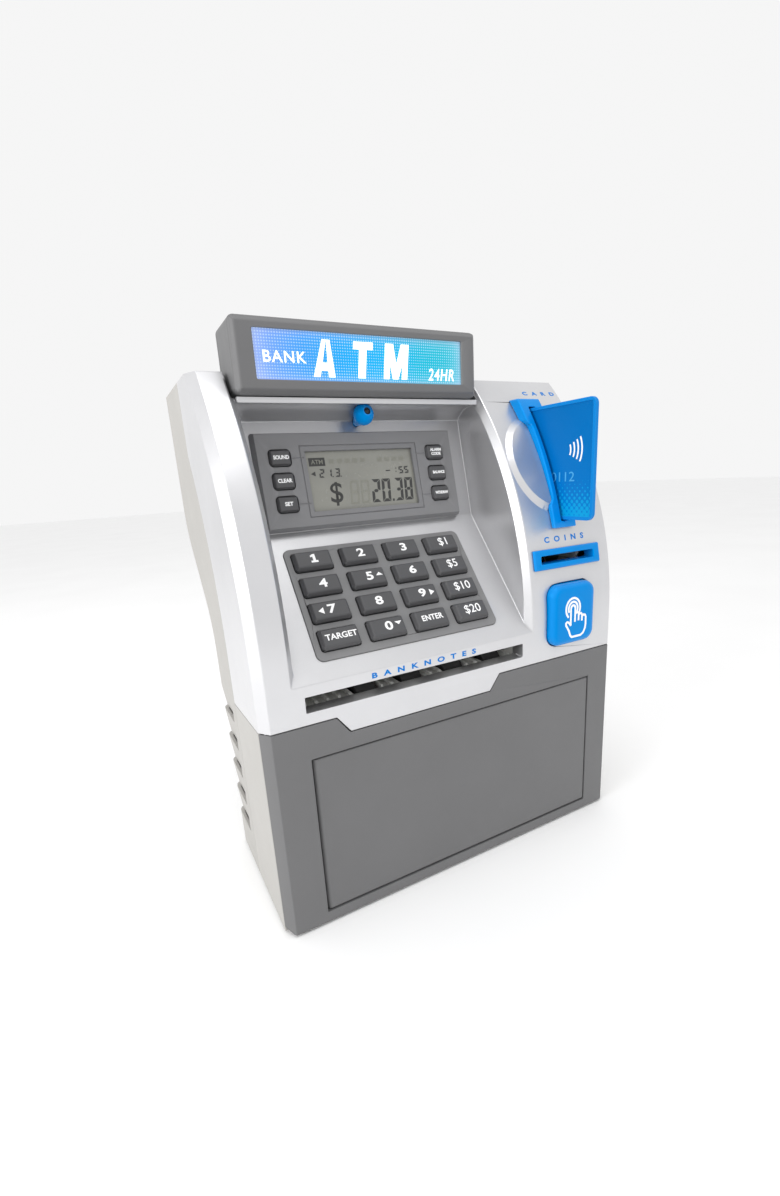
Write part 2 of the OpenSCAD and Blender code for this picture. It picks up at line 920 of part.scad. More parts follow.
// What is cut away to round the sign's four corners
module sign_corners() {
    r = 3.5;
    w = sign_w / 2;
    h = (sign_z1 - sign_z0) / 2;
    translate([sign_x, 0, (sign_z0 + sign_z1) / 2]) for (m = [0, 1], n = [0, 1])
        mirror([m, 0, 0]) mirror([0, 0, n]) difference() {
            box(w - r, w + 1, sign_y0 - 1, sign_y1 + 1, h - r, h + 1);
            y_cyl(r, w - r, sign_y0 - 2, sign_y1 + 2, h - r);
        }
}

module sign_lens() {
    color(bright_blue) in_case()
        box(sign_x - 58.8, sign_x + 58.8, sign_y0 + 1.55, sign_y0 + 3.3, 267, 291.9);
}

module sign_back() {
    x0 = sign_x - sign_w / 2;
    x1 = sign_x + sign_w / 2;
    color(dark_grey) in_case() difference() {
        union() {
            box(x0, x1, sign_y1 - 2, sign_y1, sign_z0, sign_z1);
            difference() {
                box(x0 + wall + 0.2, x1 - wall - 0.2, sign_y1 - 5, sign_y1 - 1,
                    sign_z0 + wall + 0.2, sign_z1 - wall - 0.2);
                box(x0 + wall + 1.6, x1 - wall - 1.6, sign_y1 - 6, sign_y1 - 2,
                    sign_z0 + wall + 1.6, sign_z1 - wall - 1.6);
            }
        }
        sign_corners();
        // Wire way into the case
        box(sign_x - 5, sign_x + 5, sign_y1 - 3, sign_y1 + 1, sign_z0 - 1, sign_z0 + 4.5);
    }
}

module sign_board() {
    color(white_abs) in_case() {
        box(sign_x - 56, sign_x + 56, 52, 53.6, 268, 291);
        for (x = [sign_x - 50 : 20 : sign_x + 50], z = [274, 285])
            box(x - 1.75, x + 1.75, 51.2, 52.1, z - 1.4, z + 1.4);
        for (x = [sign_x - 45, sign_x + 45]) y_cyl(2, x, 53.5, sign_y1 - 2.1, 279.5);
    }
}

// ---------- Eye ----------

// A ball with a tapering tail that runs back into the case, grown by g
module eye_form(g) {
    translate([eye_x, eye_y, eye_z]) rotate([eye_stem, 0, 0]) {
        sphere(eye_r + g);
        cylinder(r1 = eye_r - 0.15 + g, r2 = eye_stem_r + g, h = 11.5);
        cylinder(r = eye_stem_r + g, h = 17);
    }
}

module eye_shell() {
    color(bright_blue) in_case() difference() {
        eye_form(0);
        translate([eye_x, eye_y, eye_z]) rotate([eye_look, 0, 0]) cylinder(r = 1.9, h = 10);
    }
}

module eye_lens() {
    color(black) in_case() translate([eye_x, eye_y, eye_z]) rotate([eye_look, 0, 0]) {
        cylinder(r = 1.85, h = 4.8);
        translate([0, 0, 4.2]) sphere(1.75, $fn = 32);
    }
}

// ---------- Display ----------

module display_bezel() {
    b = 1.6;
    color(dark_grey) in_case() on_display(panel_x, panel_v) difference() {
        intersection() {
            bevel_prism(panel_w + 2 * b, panel_h + 2 * b, panel_t, b);
            translate([0, 0, -1]) linear_extrude(panel_t + 2)
                round_rect(panel_w + 2 * b, panel_h + 2 * b, 2);
        }
        translate([0, 0, -1]) linear_extrude(panel_t - panel_skin + 1)
            square([panel_w - 2, panel_h - 2], center = true);
        // Window with a shallow frame step
        translate([sign_x - panel_x, lcd_v - panel_v, 0]) {
            linear_extrude(panel_t + 1) square([lcd_w, lcd_h], center = true);
            translate([0, 0, panel_t - 0.5]) linear_extrude(2) difference() {
                square([lcd_w + 6, lcd_h + 6], center = true);
                square([lcd_w + 5, lcd_h + 5], center = true);
            }
        }
        side_button_spots() linear_extrude(panel_t + 1)
            round_rect(side_btn_w + 0.8, side_btn_h + 0.8, 2.2);
        // Pointer lines from the end buttons to the window
        for (x = [-1, 1], y = [-1, 1])
            translate([x * 37 - 0.2, y * side_btn_dv - 0.4, panel_t - 0.3])
                linear_extrude(1) square([6.5, 0.4], center = true);
    }
}

// A block with all four sides leaning in by b over its height
module bevel_prism(w, h, t, b) {
    intersection() {
        rotate([90, 0, 0]) translate([0, 0, -h / 2]) linear_extrude(h)
            polygon([[-w / 2, 0], [w / 2, 0], [w / 2 - b, t], [-w / 2 + b, t]]);
        rotate([90, 0, 90]) translate([0, 0, -w / 2]) linear_extrude(w)
            polygon([[-h / 2, 0], [h / 2, 0], [h / 2 - b, t], [-h / 2 + b, t]]);
    }
}

module side_button_spots() {
    for (x = [-1, 1], i = [-1 : 1])
        translate([x * side_btn_dx - 0.2, i * side_btn_dv - 0.2, 0]) children();
}

module lcd_module() {
    color([0.56, 0.57, 0.50]) in_case() on_display(sign_x, lcd_v) {
        translate([0, 0, 0.2]) linear_extrude(2.4) square([lcd_w + 4, lcd_h + 4], center = true);
        translate([0, 0, -0.9]) linear_extrude(1.2) square([lcd_w - 4, lcd_h - 4], center = true);
    }
}

module display_board() {
    color(board_green) in_case() on_display(panel_x, panel_v) {
        translate([0, 0, -2.6]) linear_extrude(1.6) square([104, 38], center = true);
        side_button_spots() translate([0, 0, -1.1]) linear_extrude(1) square([4.5, 4.5], center = true);
    }
}

// One cap in the display panel: column is -1 or 1, row is -1 to 1 from the bottom
module side_button(column, row) {
    color(key_grey) in_case() on_display(panel_x, panel_v)
        translate([column * side_btn_dx - 0.2, row * side_btn_dv - 0.2, 0]) {
            translate([0, 0, 1.2]) linear_extrude(1)
                square([side_btn_w + 2.4, side_btn_h + 1.6], center = true);
            translate([0, 0, 2.1]) intersection() {
                linear_extrude(4.2) round_rect(side_btn_w, side_btn_h, 1.9);
                bevel_prism(side_btn_w + 1.7, side_btn_h + 1.7, 4.2, 1.7);
            }
        }
}

module button_sound() side_button(-1, 1);
module button_clear() side_button(-1, 0);
module button_set() side_button(-1, -1);
module button_alarm() side_button(1, 1);
module button_balance() side_button(1, 0);
module button_withdraw() side_button(1, -1);

// ---------- Key pad ----------

module keypad_plate() {
    color(dark_grey) in_case() on_shelf(pad_x, pad_s) difference() {
        translate([0, 0, -wall]) linear_extrude(wall + pad_face) round_rect(pad_w, pad_h, 3.6);
        key_spots() translate([0, 0, -wall - 1]) linear_extrude(wall + pad_face + 2)
            round_rect(key_w + 2 * key_gap, key_h + 2 * key_gap, 1.7);
    }
}

module key_spots() {
    for (c = [0 : 3], r = [0 : 3])
        translate([key_x0 + c * key_dx - pad_x, key_s0 + r * key_dy - pad_s, 0]) children();
}

module keypad_mat() {
    color([0.75, 0.75, 0.72]) in_case() on_shelf(pad_x, pad_s) {
        difference() {
            translate([0, 0, -6.9]) linear_extrude(6.9 - wall) square([106, 62.6], center = true);
            translate([0, 0, -5.7]) linear_extrude(6) square([104.4, 60.8], center = true);
        }
        key_spots() translate([0, 0, dome_top - 0.5])
            cylinder(r1 = 3.4, r2 = 2.6, h = 0.5, $fn = 32);
    }
}

module main_board() {
    color(board_green) in_case() on_shelf(pad_x, pad_s) {
        translate([0, 0, -8.6]) linear_extrude(1.6) square([104, 60], center = true);
        translate([12, 4, -10.2]) linear_extrude(1.7) square([14, 14], center = true);
        for (x = [-38 : 12 : 0]) translate([x, 14, -10.6]) cylinder(r = 2.5, h = 2.1, $fn = 32);
    }
}

// One key cap: column 0 to 3 from the left, row 0 to 3 from the bottom
module pad_key(column, row) {
    color(key_grey) in_case()
        on_shelf(key_x0 + column * key_dx, key_s0 + row * key_dy) {
            translate([0, 0, dome_top + 0.2 + key_travel]) linear_extrude(1.2)
                square([key_w + 3, key_h + 2.2], center = true);
            translate([0, 0, -3]) linear_extrude(4.4) round_rect(key_w, key_h, 1.5);
            translate([0, 0, 1.3]) intersection() {
                linear_extrude(2.9) round_rect(key_w, key_h, 1.5);
                bevel_prism(key_w + 0.6, key_h + 0.6, 2.9, 1.5);
            }
        }
}

module key_1() pad_key(0, 3);
module key_2() pad_key(1, 3);
module key_3() pad_key(2, 3);
module key_note_1() pad_key(3, 3);
module key_4() pad_key(0, 2);
module key_5() pad_key(1, 2);
module key_6() pad_key(2, 2);
module key_note_5() pad_key(3, 2);
module key_7() pad_key(0, 1);
module key_8() pad_key(1, 1);
module key_9() pad_key(2, 1);
module key_note_10() pad_key(3, 1);
module key_target() pad_key(0, 0);
module key_0() pad_key(1, 0);
module key_enter() pad_key(2, 0);
module key_note_20() pad_key(3, 0);

// ---------- Right column ----------

module card_bracket() {
    color(bright_blue) in_case() difference() {
        union() {
            intersection() {
                difference() {
                    x_cyl(face_r, -far, far, face_r - bracket_lift_y, face_z + bracket_lift_z);
                    behind_face(0);
                }
                bracket_outline(0);
            }
            face_sweep(54.6, 134.4) translate([column_x, -1.4])
                square([bracket_neck_w, 3.2], center = true);
        }
        box(column_x - card_slot_w / 2, column_x + card_slot_w / 2, -60, 90,
            card_z - 0.8, card_z + card_h + 0.8);
    }
}

// Front view of the bracket, grown by g: two broad ends joined by a narrower bar
module bracket_outline(g) {
    w = bracket_w / 2 + g;
    m = bracket_mid_w / 2 + g;
    z0 = bracket_z0 - g;
    z1 = bracket_z1 + g;
    b = bracket_block + g;
    half = [
        [0, z0], [w, z0], [w, z0 + b], [m, z0 + b + 3],
        [m, z1 - b - 3], [w, z1 - b], [w, z1], [0, z1]
    ];
    translate([column_x, 0, 0]) for (side = [0, 1]) mirror([side, 0, 0])
        xz_prism(-20, 80, half);
}

module card() {
    rim = 1.9;
    color(card_blue) in_case() translate([column_x, card_y + card_l / 2, card_z + card_h / 2])
        rotate([90, 0, 90]) translate([0, 0, -card_t / 2]) {
            difference() {
                linear_extrude(card_t) round_rect(card_l, card_h, 4);
                for (z = [-1, card_t - 0.4]) translate([0, 0, z]) linear_extrude(1.4)
                    round_rect(card_l - 2 * rim, card_h - 2 * rim, 2.4);
            }
        }
}

module coin_frame() {
    slot_z = face_z + face_r * sin(face_deg(coin_s));
    color(bright_blue) in_case() difference() {
        on_face(column_x, coin_s) {
            translate([0, 0, 0.05]) bevel_prism(coin_w, coin_h, 1.5, 0.7);
            translate([0, 0, -6]) linear_extrude(6.2)
                square([coin_w - 4.4, coin_h - 3.4], center = true);
        }
        box(column_x - coin_slot_w / 2, column_x + coin_slot_w / 2, -10, 20,
            slot_z - coin_slot_h / 2, slot_z + coin_slot_h / 2);
    }
}

// A sloping tray that drops coins into the vault
module coin_chute() {
    x0 = column_x - 22.5;
    x1 = column_x + 19.5;
    color(white_abs) in_case() difference() {
        yz_prism(x0, x1, [
            [10.5, 175], [12, 182], [20, 182], [56, 110], [56, 95], [49, 95], [47, 106]
        ]);
        yz_prism(x0 + 1.6, x1 - 1.6, [
            [8, 168], [8, 190], [20, 190], [60, 111], [60, 90], [50, 90], [50, 106.5], [14, 166.5]
        ]);
    }
}

module touch_button() {
    color(bright_blue) in_case() translate([column_x, 0, touch_z]) rotate([90, 0, 0]) {
        translate([0, 0, -5.5]) linear_extrude(1.6)
            round_rect(touch_w + 2.6, touch_h + 2.6, touch_r);
        translate([0, 0, -5]) linear_extrude(touch_up + 3.4) round_rect(touch_w, touch_h, touch_r);
        translate([0, 0, touch_up - 1.7]) intersection() {
            linear_extrude(2.2) round_rect(touch_w, touch_h, touch_r);
            bevel_prism(touch_w + 0.4, touch_h + 0.4, 2.2, 2.2);
        }
    }
}

// ---------- Note feed ----------

module roller_spots() {
    for (i = [0 : roller_n - 1]) translate([roller_x0 + i * roller_dx, 0, 0]) children();
}

module note_guide() {
    x0 = note_x0 - 0.5 - cheek_t;
    x1 = note_x1 + 0.5;
    color(white_abs) in_case() difference() {
        union() {
            box(x0, x1 + cheek_t, 9.1, 40, note_z0 - 3.4, note_z0 - 1.6);
            for (x = [x0, x1]) box(x, x + cheek_t, 9.1, 40, 106, 134);
            // Comb teeth that steer a note over the rollers
            for (i = [0 : 21]) {
                x = note_x0 + 2.5 + i * 6;
                yz_prism(x, x + 1.4, [
                    [9.8, note_z0 - 2], [12, note_z0 - 0.2], [34, note_z0 + 1.2], [38, note_z0 - 2]
                ]);
            }
            // Cradle that carries the motor
            box(-88, -70, 24, 39, motor_z + 5, note_z0 - 3);
        }
        roller_spots() box(-roller_w / 2 - 1.6, roller_w / 2 + 1.6, 9.9, 31, 100, 124);
        x_cyl(shaft_r + 0.06, -far, far, feed_y, feed_z);
        x_cyl(shaft_r + 0.06, -far, far, feed_y, idler_z);
        x_cyl(motor_r + 0.1, -91.4, -60, motor_y, motor_z);
    }
}

module feed_shaft() {
    color(steel) in_case() x_cyl(shaft_r, gear_x - 1.2, note_x1 + 4, feed_y, feed_z);
}

module feed_rollers() {
    color(black) in_case() roller_spots() difference() {
        x_cyl(drive_r, -roller_w / 2, roller_w / 2, feed_y, feed_z);
        x_cyl(shaft_r + 0.02, -roller_w, roller_w, feed_y, feed_z);
    }
}

module feed_gear() {
    color(white_abs) in_case() translate([gear_x, feed_y, feed_z]) rotate([90, 0, 90])
        difference() {
            linear_extrude(gear_w) spur(gear_teeth, 0);
            translate([0, 0, -1]) cylinder(r = shaft_r + 0.02, h = gear_w + 2);
        }
}

module motor_pinion() {
    color([0.78, 0.62, 0.28]) in_case() translate([gear_x, motor_y, motor_z]) rotate([90, 0, 90])
        difference() {
            linear_extrude(gear_w) spur(pinion_teeth, 1);
            translate([0, 0, -1]) cylinder(r = 1.02, h = gear_w + 2);
        }
}

// Spur gear outline. phase 0 puts a tooth, phase 1 a gap, at the mesh point,
// which lies at -45 degrees from the large gear and at 135 degrees from the pinion
module spur(teeth, phase) {
    r = module_mm * teeth / 2;
    half = 90 / teeth - 1.5 / teeth;
    start = phase == 0 ? -45 : 135 + 180 / teeth;
    polygon([for (i = [0 : teeth - 1], k = [0 : 5]) let (
        a = start + i * 360 / teeth + [-1.75, -1, -0.45, 0.45, 1, 1.75][k] * half,
        q = [r - 1.2 * module_mm, r - 0.1 * module_mm, r + 0.85 * module_mm,
             r + 0.85 * module_mm, r - 0.1 * module_mm, r - 1.2 * module_mm][k]
    ) [q * cos(a), q * sin(a)]]);
}

module idler_roller() {
    color(white_abs) in_case() {
        x_cyl(shaft_r, note_x0 - 4, note_x1 + 4, feed_y, idler_z);
        roller_spots() x_cyl(idler_r, -roller_w / 2, roller_w / 2, feed_y, idler_z);
    }
}

module feed_motor() {
    x0 = note_x0 - 0.2;
    color(steel) in_case() {
        x_cyl(motor_r, x0, x0 + 25, motor_y, motor_z);
        x_cyl(3, x0 + 24.9, x0 + 27, motor_y, motor_z);
        x_cyl(1, gear_x - 0.6, x0 + 0.1, motor_y, motor_z);
    }
}

// ---------- Nodes ----------

front_shell();
lower_fascia();
base_frame();
rear_shell();
vault_door();
door_pins();
latch_bolt();
latch_coil();
vault_box();
battery_door();
battery_contacts();
speaker();
feet();
case_screws();
sign_housing();
sign_lens();
sign_back();
sign_board();
eye_shell();
eye_lens();
display_bezel();
lcd_module();
display_board();
button_sound();
button_clear();
button_set();
button_alarm();
button_balance();
button_withdraw();
keypad_plate();
keypad_mat();
main_board();
key_1();
key_2();
key_3();
key_note_1();
key_4();
key_5();
key_6();
key_note_5();
key_7();
key_8();
key_9();
key_note_10();
key_target();
key_0();
key_enter();
key_note_20();
card_bracket();
card();
coin_frame();
coin_chute();
touch_button();
note_guide();
feed_shaft();
feed_rollers();
feed_gear();
idler_roller();
feed_motor();
motor_pinion();
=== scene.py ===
import json
import math

import bmesh
import bpy
from mathutils import Matrix, Vector

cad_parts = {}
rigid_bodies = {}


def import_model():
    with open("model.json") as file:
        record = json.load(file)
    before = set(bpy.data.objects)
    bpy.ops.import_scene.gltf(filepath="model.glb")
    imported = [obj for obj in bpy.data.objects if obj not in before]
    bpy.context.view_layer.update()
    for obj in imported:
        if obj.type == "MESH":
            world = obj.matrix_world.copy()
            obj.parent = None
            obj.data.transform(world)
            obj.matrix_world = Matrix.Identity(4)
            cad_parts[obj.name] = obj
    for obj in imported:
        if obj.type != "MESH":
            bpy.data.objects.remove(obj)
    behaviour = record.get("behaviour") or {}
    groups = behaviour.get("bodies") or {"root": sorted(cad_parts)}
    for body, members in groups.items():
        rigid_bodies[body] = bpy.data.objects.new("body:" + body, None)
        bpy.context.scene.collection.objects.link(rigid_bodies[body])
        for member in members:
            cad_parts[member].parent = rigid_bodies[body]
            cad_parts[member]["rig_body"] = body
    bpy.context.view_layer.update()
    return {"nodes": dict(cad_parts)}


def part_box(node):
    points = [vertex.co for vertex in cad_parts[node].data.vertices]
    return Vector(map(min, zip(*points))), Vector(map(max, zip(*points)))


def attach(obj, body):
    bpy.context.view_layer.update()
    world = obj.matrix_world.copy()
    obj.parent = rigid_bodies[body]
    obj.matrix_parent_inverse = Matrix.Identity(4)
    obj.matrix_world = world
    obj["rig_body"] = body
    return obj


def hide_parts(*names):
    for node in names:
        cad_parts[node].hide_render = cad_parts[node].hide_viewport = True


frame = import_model()
nodes = frame["nodes"]

# ---------- Sizes of the CAD model, in millimetres ----------

# In the case frame x runs to the right, y back from the lower front face and z up from the
# case's underside. These two shifts take it to the object's own frame.
SHIFT_Y = -62.2
SHIFT_Z = 1.5
MM = 0.001

FACE_R = 201.5  # radius of the curved face
FACE_Z = 135.0  # height at which the curve starts
LIP_Z = 131.5  # height of the shelf's front edge
SHELF_LEAN = math.radians(38.97)  # how far the shelf leans back from upright
DISPLAY_LEAN = math.radians(12.37)  # the same for the panel with the screen
SHELF_LEN = 83.6  # from the shelf's front edge to the foot of that panel
SHELF_Y = SHELF_LEN * math.sin(SHELF_LEAN)
SHELF_Z = LIP_Z + SHELF_LEN * math.cos(SHELF_LEAN)
COLUMN_X = 74.6  # middle of the card, coin slot and touch button
SIGN_X = -27.0  # middle of the sign and the screen
TOUCH_Z = 138.2  # middle of the touch button


def case_matrix(x, y, z, tilt):
    """Local X to the right, Y up the face, Z out of it; tilt is 90 less the face's lean."""
    at = Matrix.Translation((x * MM, (y + SHIFT_Y) * MM, (z + SHIFT_Z) * MM))
    return at @ Matrix.Rotation(math.radians(tilt), 4, "X") @ Matrix.Scale(MM, 4)


def on_face(x, s):
    """On the curved face, s along it from where the curve starts."""
    turn = s / FACE_R
    return case_matrix(x, FACE_R - FACE_R * math.cos(turn), FACE_Z + FACE_R * math.sin(turn),
                       90 - math.degrees(turn))


def on_shelf(x, s):
    """On the shelf that holds the key pad, s up it from its front edge."""
    return case_matrix(x, s * math.sin(SHELF_LEAN), LIP_Z + s * math.cos(SHELF_LEAN),
                       90 - math.degrees(SHELF_LEAN))


def on_display(x, s):
    """On the panel with the screen, s up it from its foot."""
    return case_matrix(x, SHELF_Y + s * math.sin(DISPLAY_LEAN),
                       SHELF_Z + s * math.cos(DISPLAY_LEAN), 90 - math.degrees(DISPLAY_LEAN))


def on_front(x, z, y=0.0):
    """On an upright face that looks to the front."""
    return case_matrix(x, y, z, 90)


def on_card():
    """On the card's left side: local X runs to the front, Y up, Z out to the left."""
    turn = Matrix(((0, 0, -1, 0), (-1, 0, 0, 0), (0, 1, 0, 0), (0, 0, 0, 1)))
    at = Matrix.Translation((COLUMN_X * MM, SHIFT_Y * MM, SHIFT_Z * MM))
    return at @ turn @ Matrix.Scale(MM, 4)


# ---------- Shader nodes ----------


def new_material(name):
    mat = bpy.data.materials.new(name)
    mat.use_nodes = True
    tree = mat.node_tree
    return mat, tree, tree.nodes["Principled BSDF"]


def add(tree, kind, **values):
    """A new node; each value sets a property of it, or else the input of that name."""
    node = tree.nodes.new(kind)
    for key, value in values.items():
        if hasattr(node, key):
            setattr(node, key, value)
        else:
            node.inputs[key.replace("_", " ")].default_value = value
    return node


def noise(tree, scale, detail=3.0, rough=0.5, stretch=(1, 1, 1)):
    """Noise in the object's own coordinates; scale is in repeats per metre."""
    coords = add(tree, "ShaderNodeTexCoord")
    mapping = add(tree, "ShaderNodeMapping")
    mapping.inputs["Scale"].default_value = stretch
    pattern = add(tree, "ShaderNodeTexNoise", Scale=scale, Detail=detail, Roughness=rough)
    tree.links.new(coords.outputs["Object"], mapping.inputs["Vector"])
    tree.links.new(mapping.outputs["Vector"], pattern.inputs["Vector"])
    return pattern.outputs["Fac"]


def lin(rgb):
    """A colour given in sRGB, 0 to 255, as linear values, 0 to 1."""
    def one(value):
        value /= 255
        return value / 12.92 if value <= 0.04045 else ((value + 0.055) / 1.055) ** 2.4
    return tuple(one(value) for value in rgb)


def shade(colour, factor):
    return tuple(min(1.0, value * factor) for value in colour)


def ramp(tree, fac, stops):
    """Colours along fac; each stop is a position and a linear colour."""
    node = add(tree, "ShaderNodeValToRGB")
    elements = node.color_ramp.elements
    while len(elements) > 1:
        elements.remove(elements[0])
    elements[0].position = stops[0][0]
    elements[0].color = (*stops[0][1], 1)
    for position, colour in stops[1:]:
        elements.new(position).color = (*colour, 1)
    tree.links.new(fac, node.inputs["Fac"])
    return node.outputs["Color"]


def srgb_ramp(tree, fac, stops):
    """A ramp whose colours are given in sRGB, 0 to 255."""
    return ramp(tree, fac, [(position, lin(rgb)) for position, rgb in stops])


def calc(tree, op, *values):
    """A Math node; each value is a number or another node's output."""
    node = add(tree, "ShaderNodeMath", operation=op)
    for i, value in enumerate(values):
        if isinstance(value, (int, float)):
            node.inputs[i].default_value = value
        else:
            tree.links.new(value, node.inputs[i])
    return node.outputs[0]


def fade(tree, value, low, high, start=0.0, end=1.0):
    """From start to end as value goes from low to high, and level beyond."""
    node = add(tree, "ShaderNodeMapRange")
    node.inputs["From Min"].default_value = low
    node.inputs["From Max"].default_value = high
    node.inputs["To Min"].default_value = start
    node.inputs["To Max"].default_value = end
    tree.links.new(value, node.inputs["Value"])
    return node.outputs["Result"]


def mix_colour(tree, fac, a, b):
    """Colour a where fac is 0 and b where it is 1; each is a tuple or a node's output."""
    node = add(tree, "ShaderNodeMix", data_type="RGBA")
    tree.links.new(fac, node.inputs["Factor"])
    for key, value in (("A", a), ("B", b)):
        if isinstance(value, tuple):
            node.inputs[key].default_value = (*value, 1)
        else:
            tree.links.new(value, node.inputs[key])
    return node.outputs["Result"]


def relief(tree, shader, height, strength, depth):
    """Bumps on the surface; depth is in metres."""
    node = add(tree, "ShaderNodeBump", Strength=strength, Distance=depth)
    tree.links.new(height, node.inputs["Height"])
    tree.links.new(node.outputs["Normal"], shader.inputs["Normal"])


def axes_of(tree):
    """The object's own x, y and z, in metres."""
    coords = add(tree, "ShaderNodeTexCoord")
    split = add(tree, "ShaderNodeSeparateXYZ")
    tree.links.new(coords.outputs["Object"], split.inputs[0])
    return split.outputs


def from_middle(tree, value):
    """0 at the middle of a span from 0 to 1, and 1 at both its ends."""
    return calc(tree, "MULTIPLY", calc(tree, "ABSOLUTE", calc(tree, "SUBTRACT", value, 0.5)), 2.0)


DOT_BLUR = 0.06  # half the width of a printed dot's soft rim, in pitches


def dots(tree, u, v, pitch, radius):
    """1 inside round dots on a square grid; radius is a number or an output, in pitches."""
    off = [calc(tree, "SUBTRACT", calc(tree, "FRACT", calc(tree, "DIVIDE", along, pitch)), 0.5)
           for along in (u, v)]
    far = calc(tree, "SQRT", calc(tree, "ADD", calc(tree, "MULTIPLY", off[0], off[0]),
                                  calc(tree, "MULTIPLY", off[1], off[1])))
    return fade(tree, calc(tree, "SUBTRACT", radius, far), -DOT_BLUR, DOT_BLUR)


# ---------- Materials ----------

WEAR_SHEEN_FROM = 0.52  # pointiness at which an edge starts to pale, with wear and painted highlight
WEAR_SHEEN_FULL = 0.62
WEAR_SHEEN_LIFT = 0.25  # what wear and painted highlight add to each channel
# Painted shade in corners, found with ambient occlusion
PAINTED_SHADE_REACH = 0.045  # how near, in metres, a surface has to be to shade a corner
PAINTED_SHADE_POWER = 1.3


def with_painted_shade(tree, colour, amount):
    """The colour with painted shade: darker by up to amount in corners that little light reaches.
    """
    air = add(tree, "ShaderNodeAmbientOcclusion", samples=8, Distance=PAINTED_SHADE_REACH)
    light = calc(tree, "POWER", air.outputs["AO"], PAINTED_SHADE_POWER)
    light = calc(tree, "ADD", calc(tree, "MULTIPLY", light, amount), 1 - amount)
    node = add(tree, "ShaderNodeVectorMath", operation="SCALE")
    tree.links.new(colour, node.inputs[0])
    tree.links.new(light, node.inputs["Scale"])
    return node.outputs[0]


def plastic(name, rgb, rough=0.5, grain=0.00004, grain_scale=2200, mottle=0.05,
            metallic=0.0, spec=0.5, wear_and_sheen=0.12, tint=None, painted_shade=0.0):
    """Moulded plastic: fine spark-eroded grain, faint colour drift, paler edges that are partly
    wear and partly painted highlight, and painted shade in corners.

    grain is the grain's depth in metres, and grain_scale its repeats per metre. The amount of
    painted shade is how far the colour darkens in corners.
    """
    mat, tree, shader = new_material(name)
    base = lin(rgb)
    colour = ramp(tree, noise(tree, 28, 4, 0.6), [
        (0.3, shade(base, 1 - mottle)), (0.7, shade(base, 1 + mottle))])
    # Paler edges: partly wear, and where the amount is set high, a painted highlight on the edges
    edge = fade(tree, add(tree, "ShaderNodeNewGeometry").outputs["Pointiness"],
                WEAR_SHEEN_FROM, WEAR_SHEEN_FULL)
    wear_and_sheen_colour = tuple(min(1, value + WEAR_SHEEN_LIFT) for value in base)
    colour = mix_colour(tree, calc(tree, "MULTIPLY", edge, wear_and_sheen), colour, wear_and_sheen_colour)
    # Painted shade: the colour darkens in corners that ambient occlusion finds closed in
    if painted_shade:
        colour = with_painted_shade(tree, colour, painted_shade)
    tree.links.new(colour, shader.inputs["Base Color"])
    uneven = fade(tree, noise(tree, 160, 4, 0.65), 0.0, 1.0, rough - 0.05, rough + 0.07)
    tree.links.new(uneven, shader.inputs["Roughness"])
    relief(tree, shader, noise(tree, grain_scale, 2, 0.6), 0.55, grain)
    shader.inputs["Metallic"].default_value = metallic
    shader.inputs["Specular IOR Level"].default_value = spec
    if tint:
        shader.inputs["Specular Tint"].default_value = (*lin(tint), 1)
    return mat


# Printed patterns, in metres
SIGN_DOT_PITCH = 0.0013
CARD_DOT_PITCH = 0.0026
CARD_DOTS_TOP = 0.023  # where the dots start, above the card's foot
CARD_DOTS_FOOT = 0.001  # where they are full size
CARD_LIT_EDGE_WIDTH = 0.0018  # width of the card's paler border, a painted highlight along its edges
DIAGONAL = 0.7071  # turns the card's grid of dots by 45 degrees


def sign_material():
    """Lit print: lavender to blue to cyan, a fine grid of white dots, pale at the rim."""
    mat, tree, shader = new_material("sign_print")
    low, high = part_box("sign_lens")
    x, _, z = axes_of(tree)
    across = fade(tree, x, low.x, high.x)
    colour = srgb_ramp(tree, across, [
        (0.0, (118, 146, 208)), (0.08, (90, 136, 212)), (0.22, (48, 134, 212)),
        (0.38, (12, 142, 210)), (0.58, (0, 152, 202)), (0.78, (0, 158, 184)),
        (1.0, (14, 162, 176))])
    rim = from_middle(tree, across)
    rim_up = from_middle(tree, fade(tree, z, low.z, high.z))
    pale = calc(tree, "ADD", calc(tree, "MULTIPLY", calc(tree, "POWER", rim, 14.0), 0.55),
                calc(tree, "MULTIPLY", calc(tree, "POWER", rim_up, 6.0), 0.62))
    colour = mix_colour(tree, calc(tree, "MINIMUM", pale, 0.75), colour, lin((178, 190, 224)))
    dot_size = calc(tree, "ADD", calc(tree, "MULTIPLY", rim_up, 0.13), 0.19)
    grid = calc(tree, "MULTIPLY", dots(tree, x, z, SIGN_DOT_PITCH, dot_size), 0.5)
    colour = mix_colour(tree, grid, colour, lin((196, 216, 236)))
    tree.links.new(colour, shader.inputs["Base Color"])
    tree.links.new(colour, shader.inputs["Emission Color"])
    shader.inputs["Emission Strength"].default_value = 0.5
    shader.inputs["Roughness"].default_value = 0.22
    shader.inputs["Specular IOR Level"].default_value = 0.25
    return mat


def sign_ink_material():
    """White letters that the sign's lamps shine through."""
    mat, tree, shader = new_material("sign_ink")
    colour = ramp(tree, noise(tree, 60, 2, 0.5), [
        (0.2, (0.93, 0.95, 1.0)), (0.8, (1.0, 1.0, 1.0))])
    tree.links.new(colour, shader.inputs["Base Color"])
    tree.links.new(colour, shader.inputs["Emission Color"])
    shader.inputs["Emission Strength"].default_value = 0.6
    shader.inputs["Roughness"].default_value = 0.3
    return mat


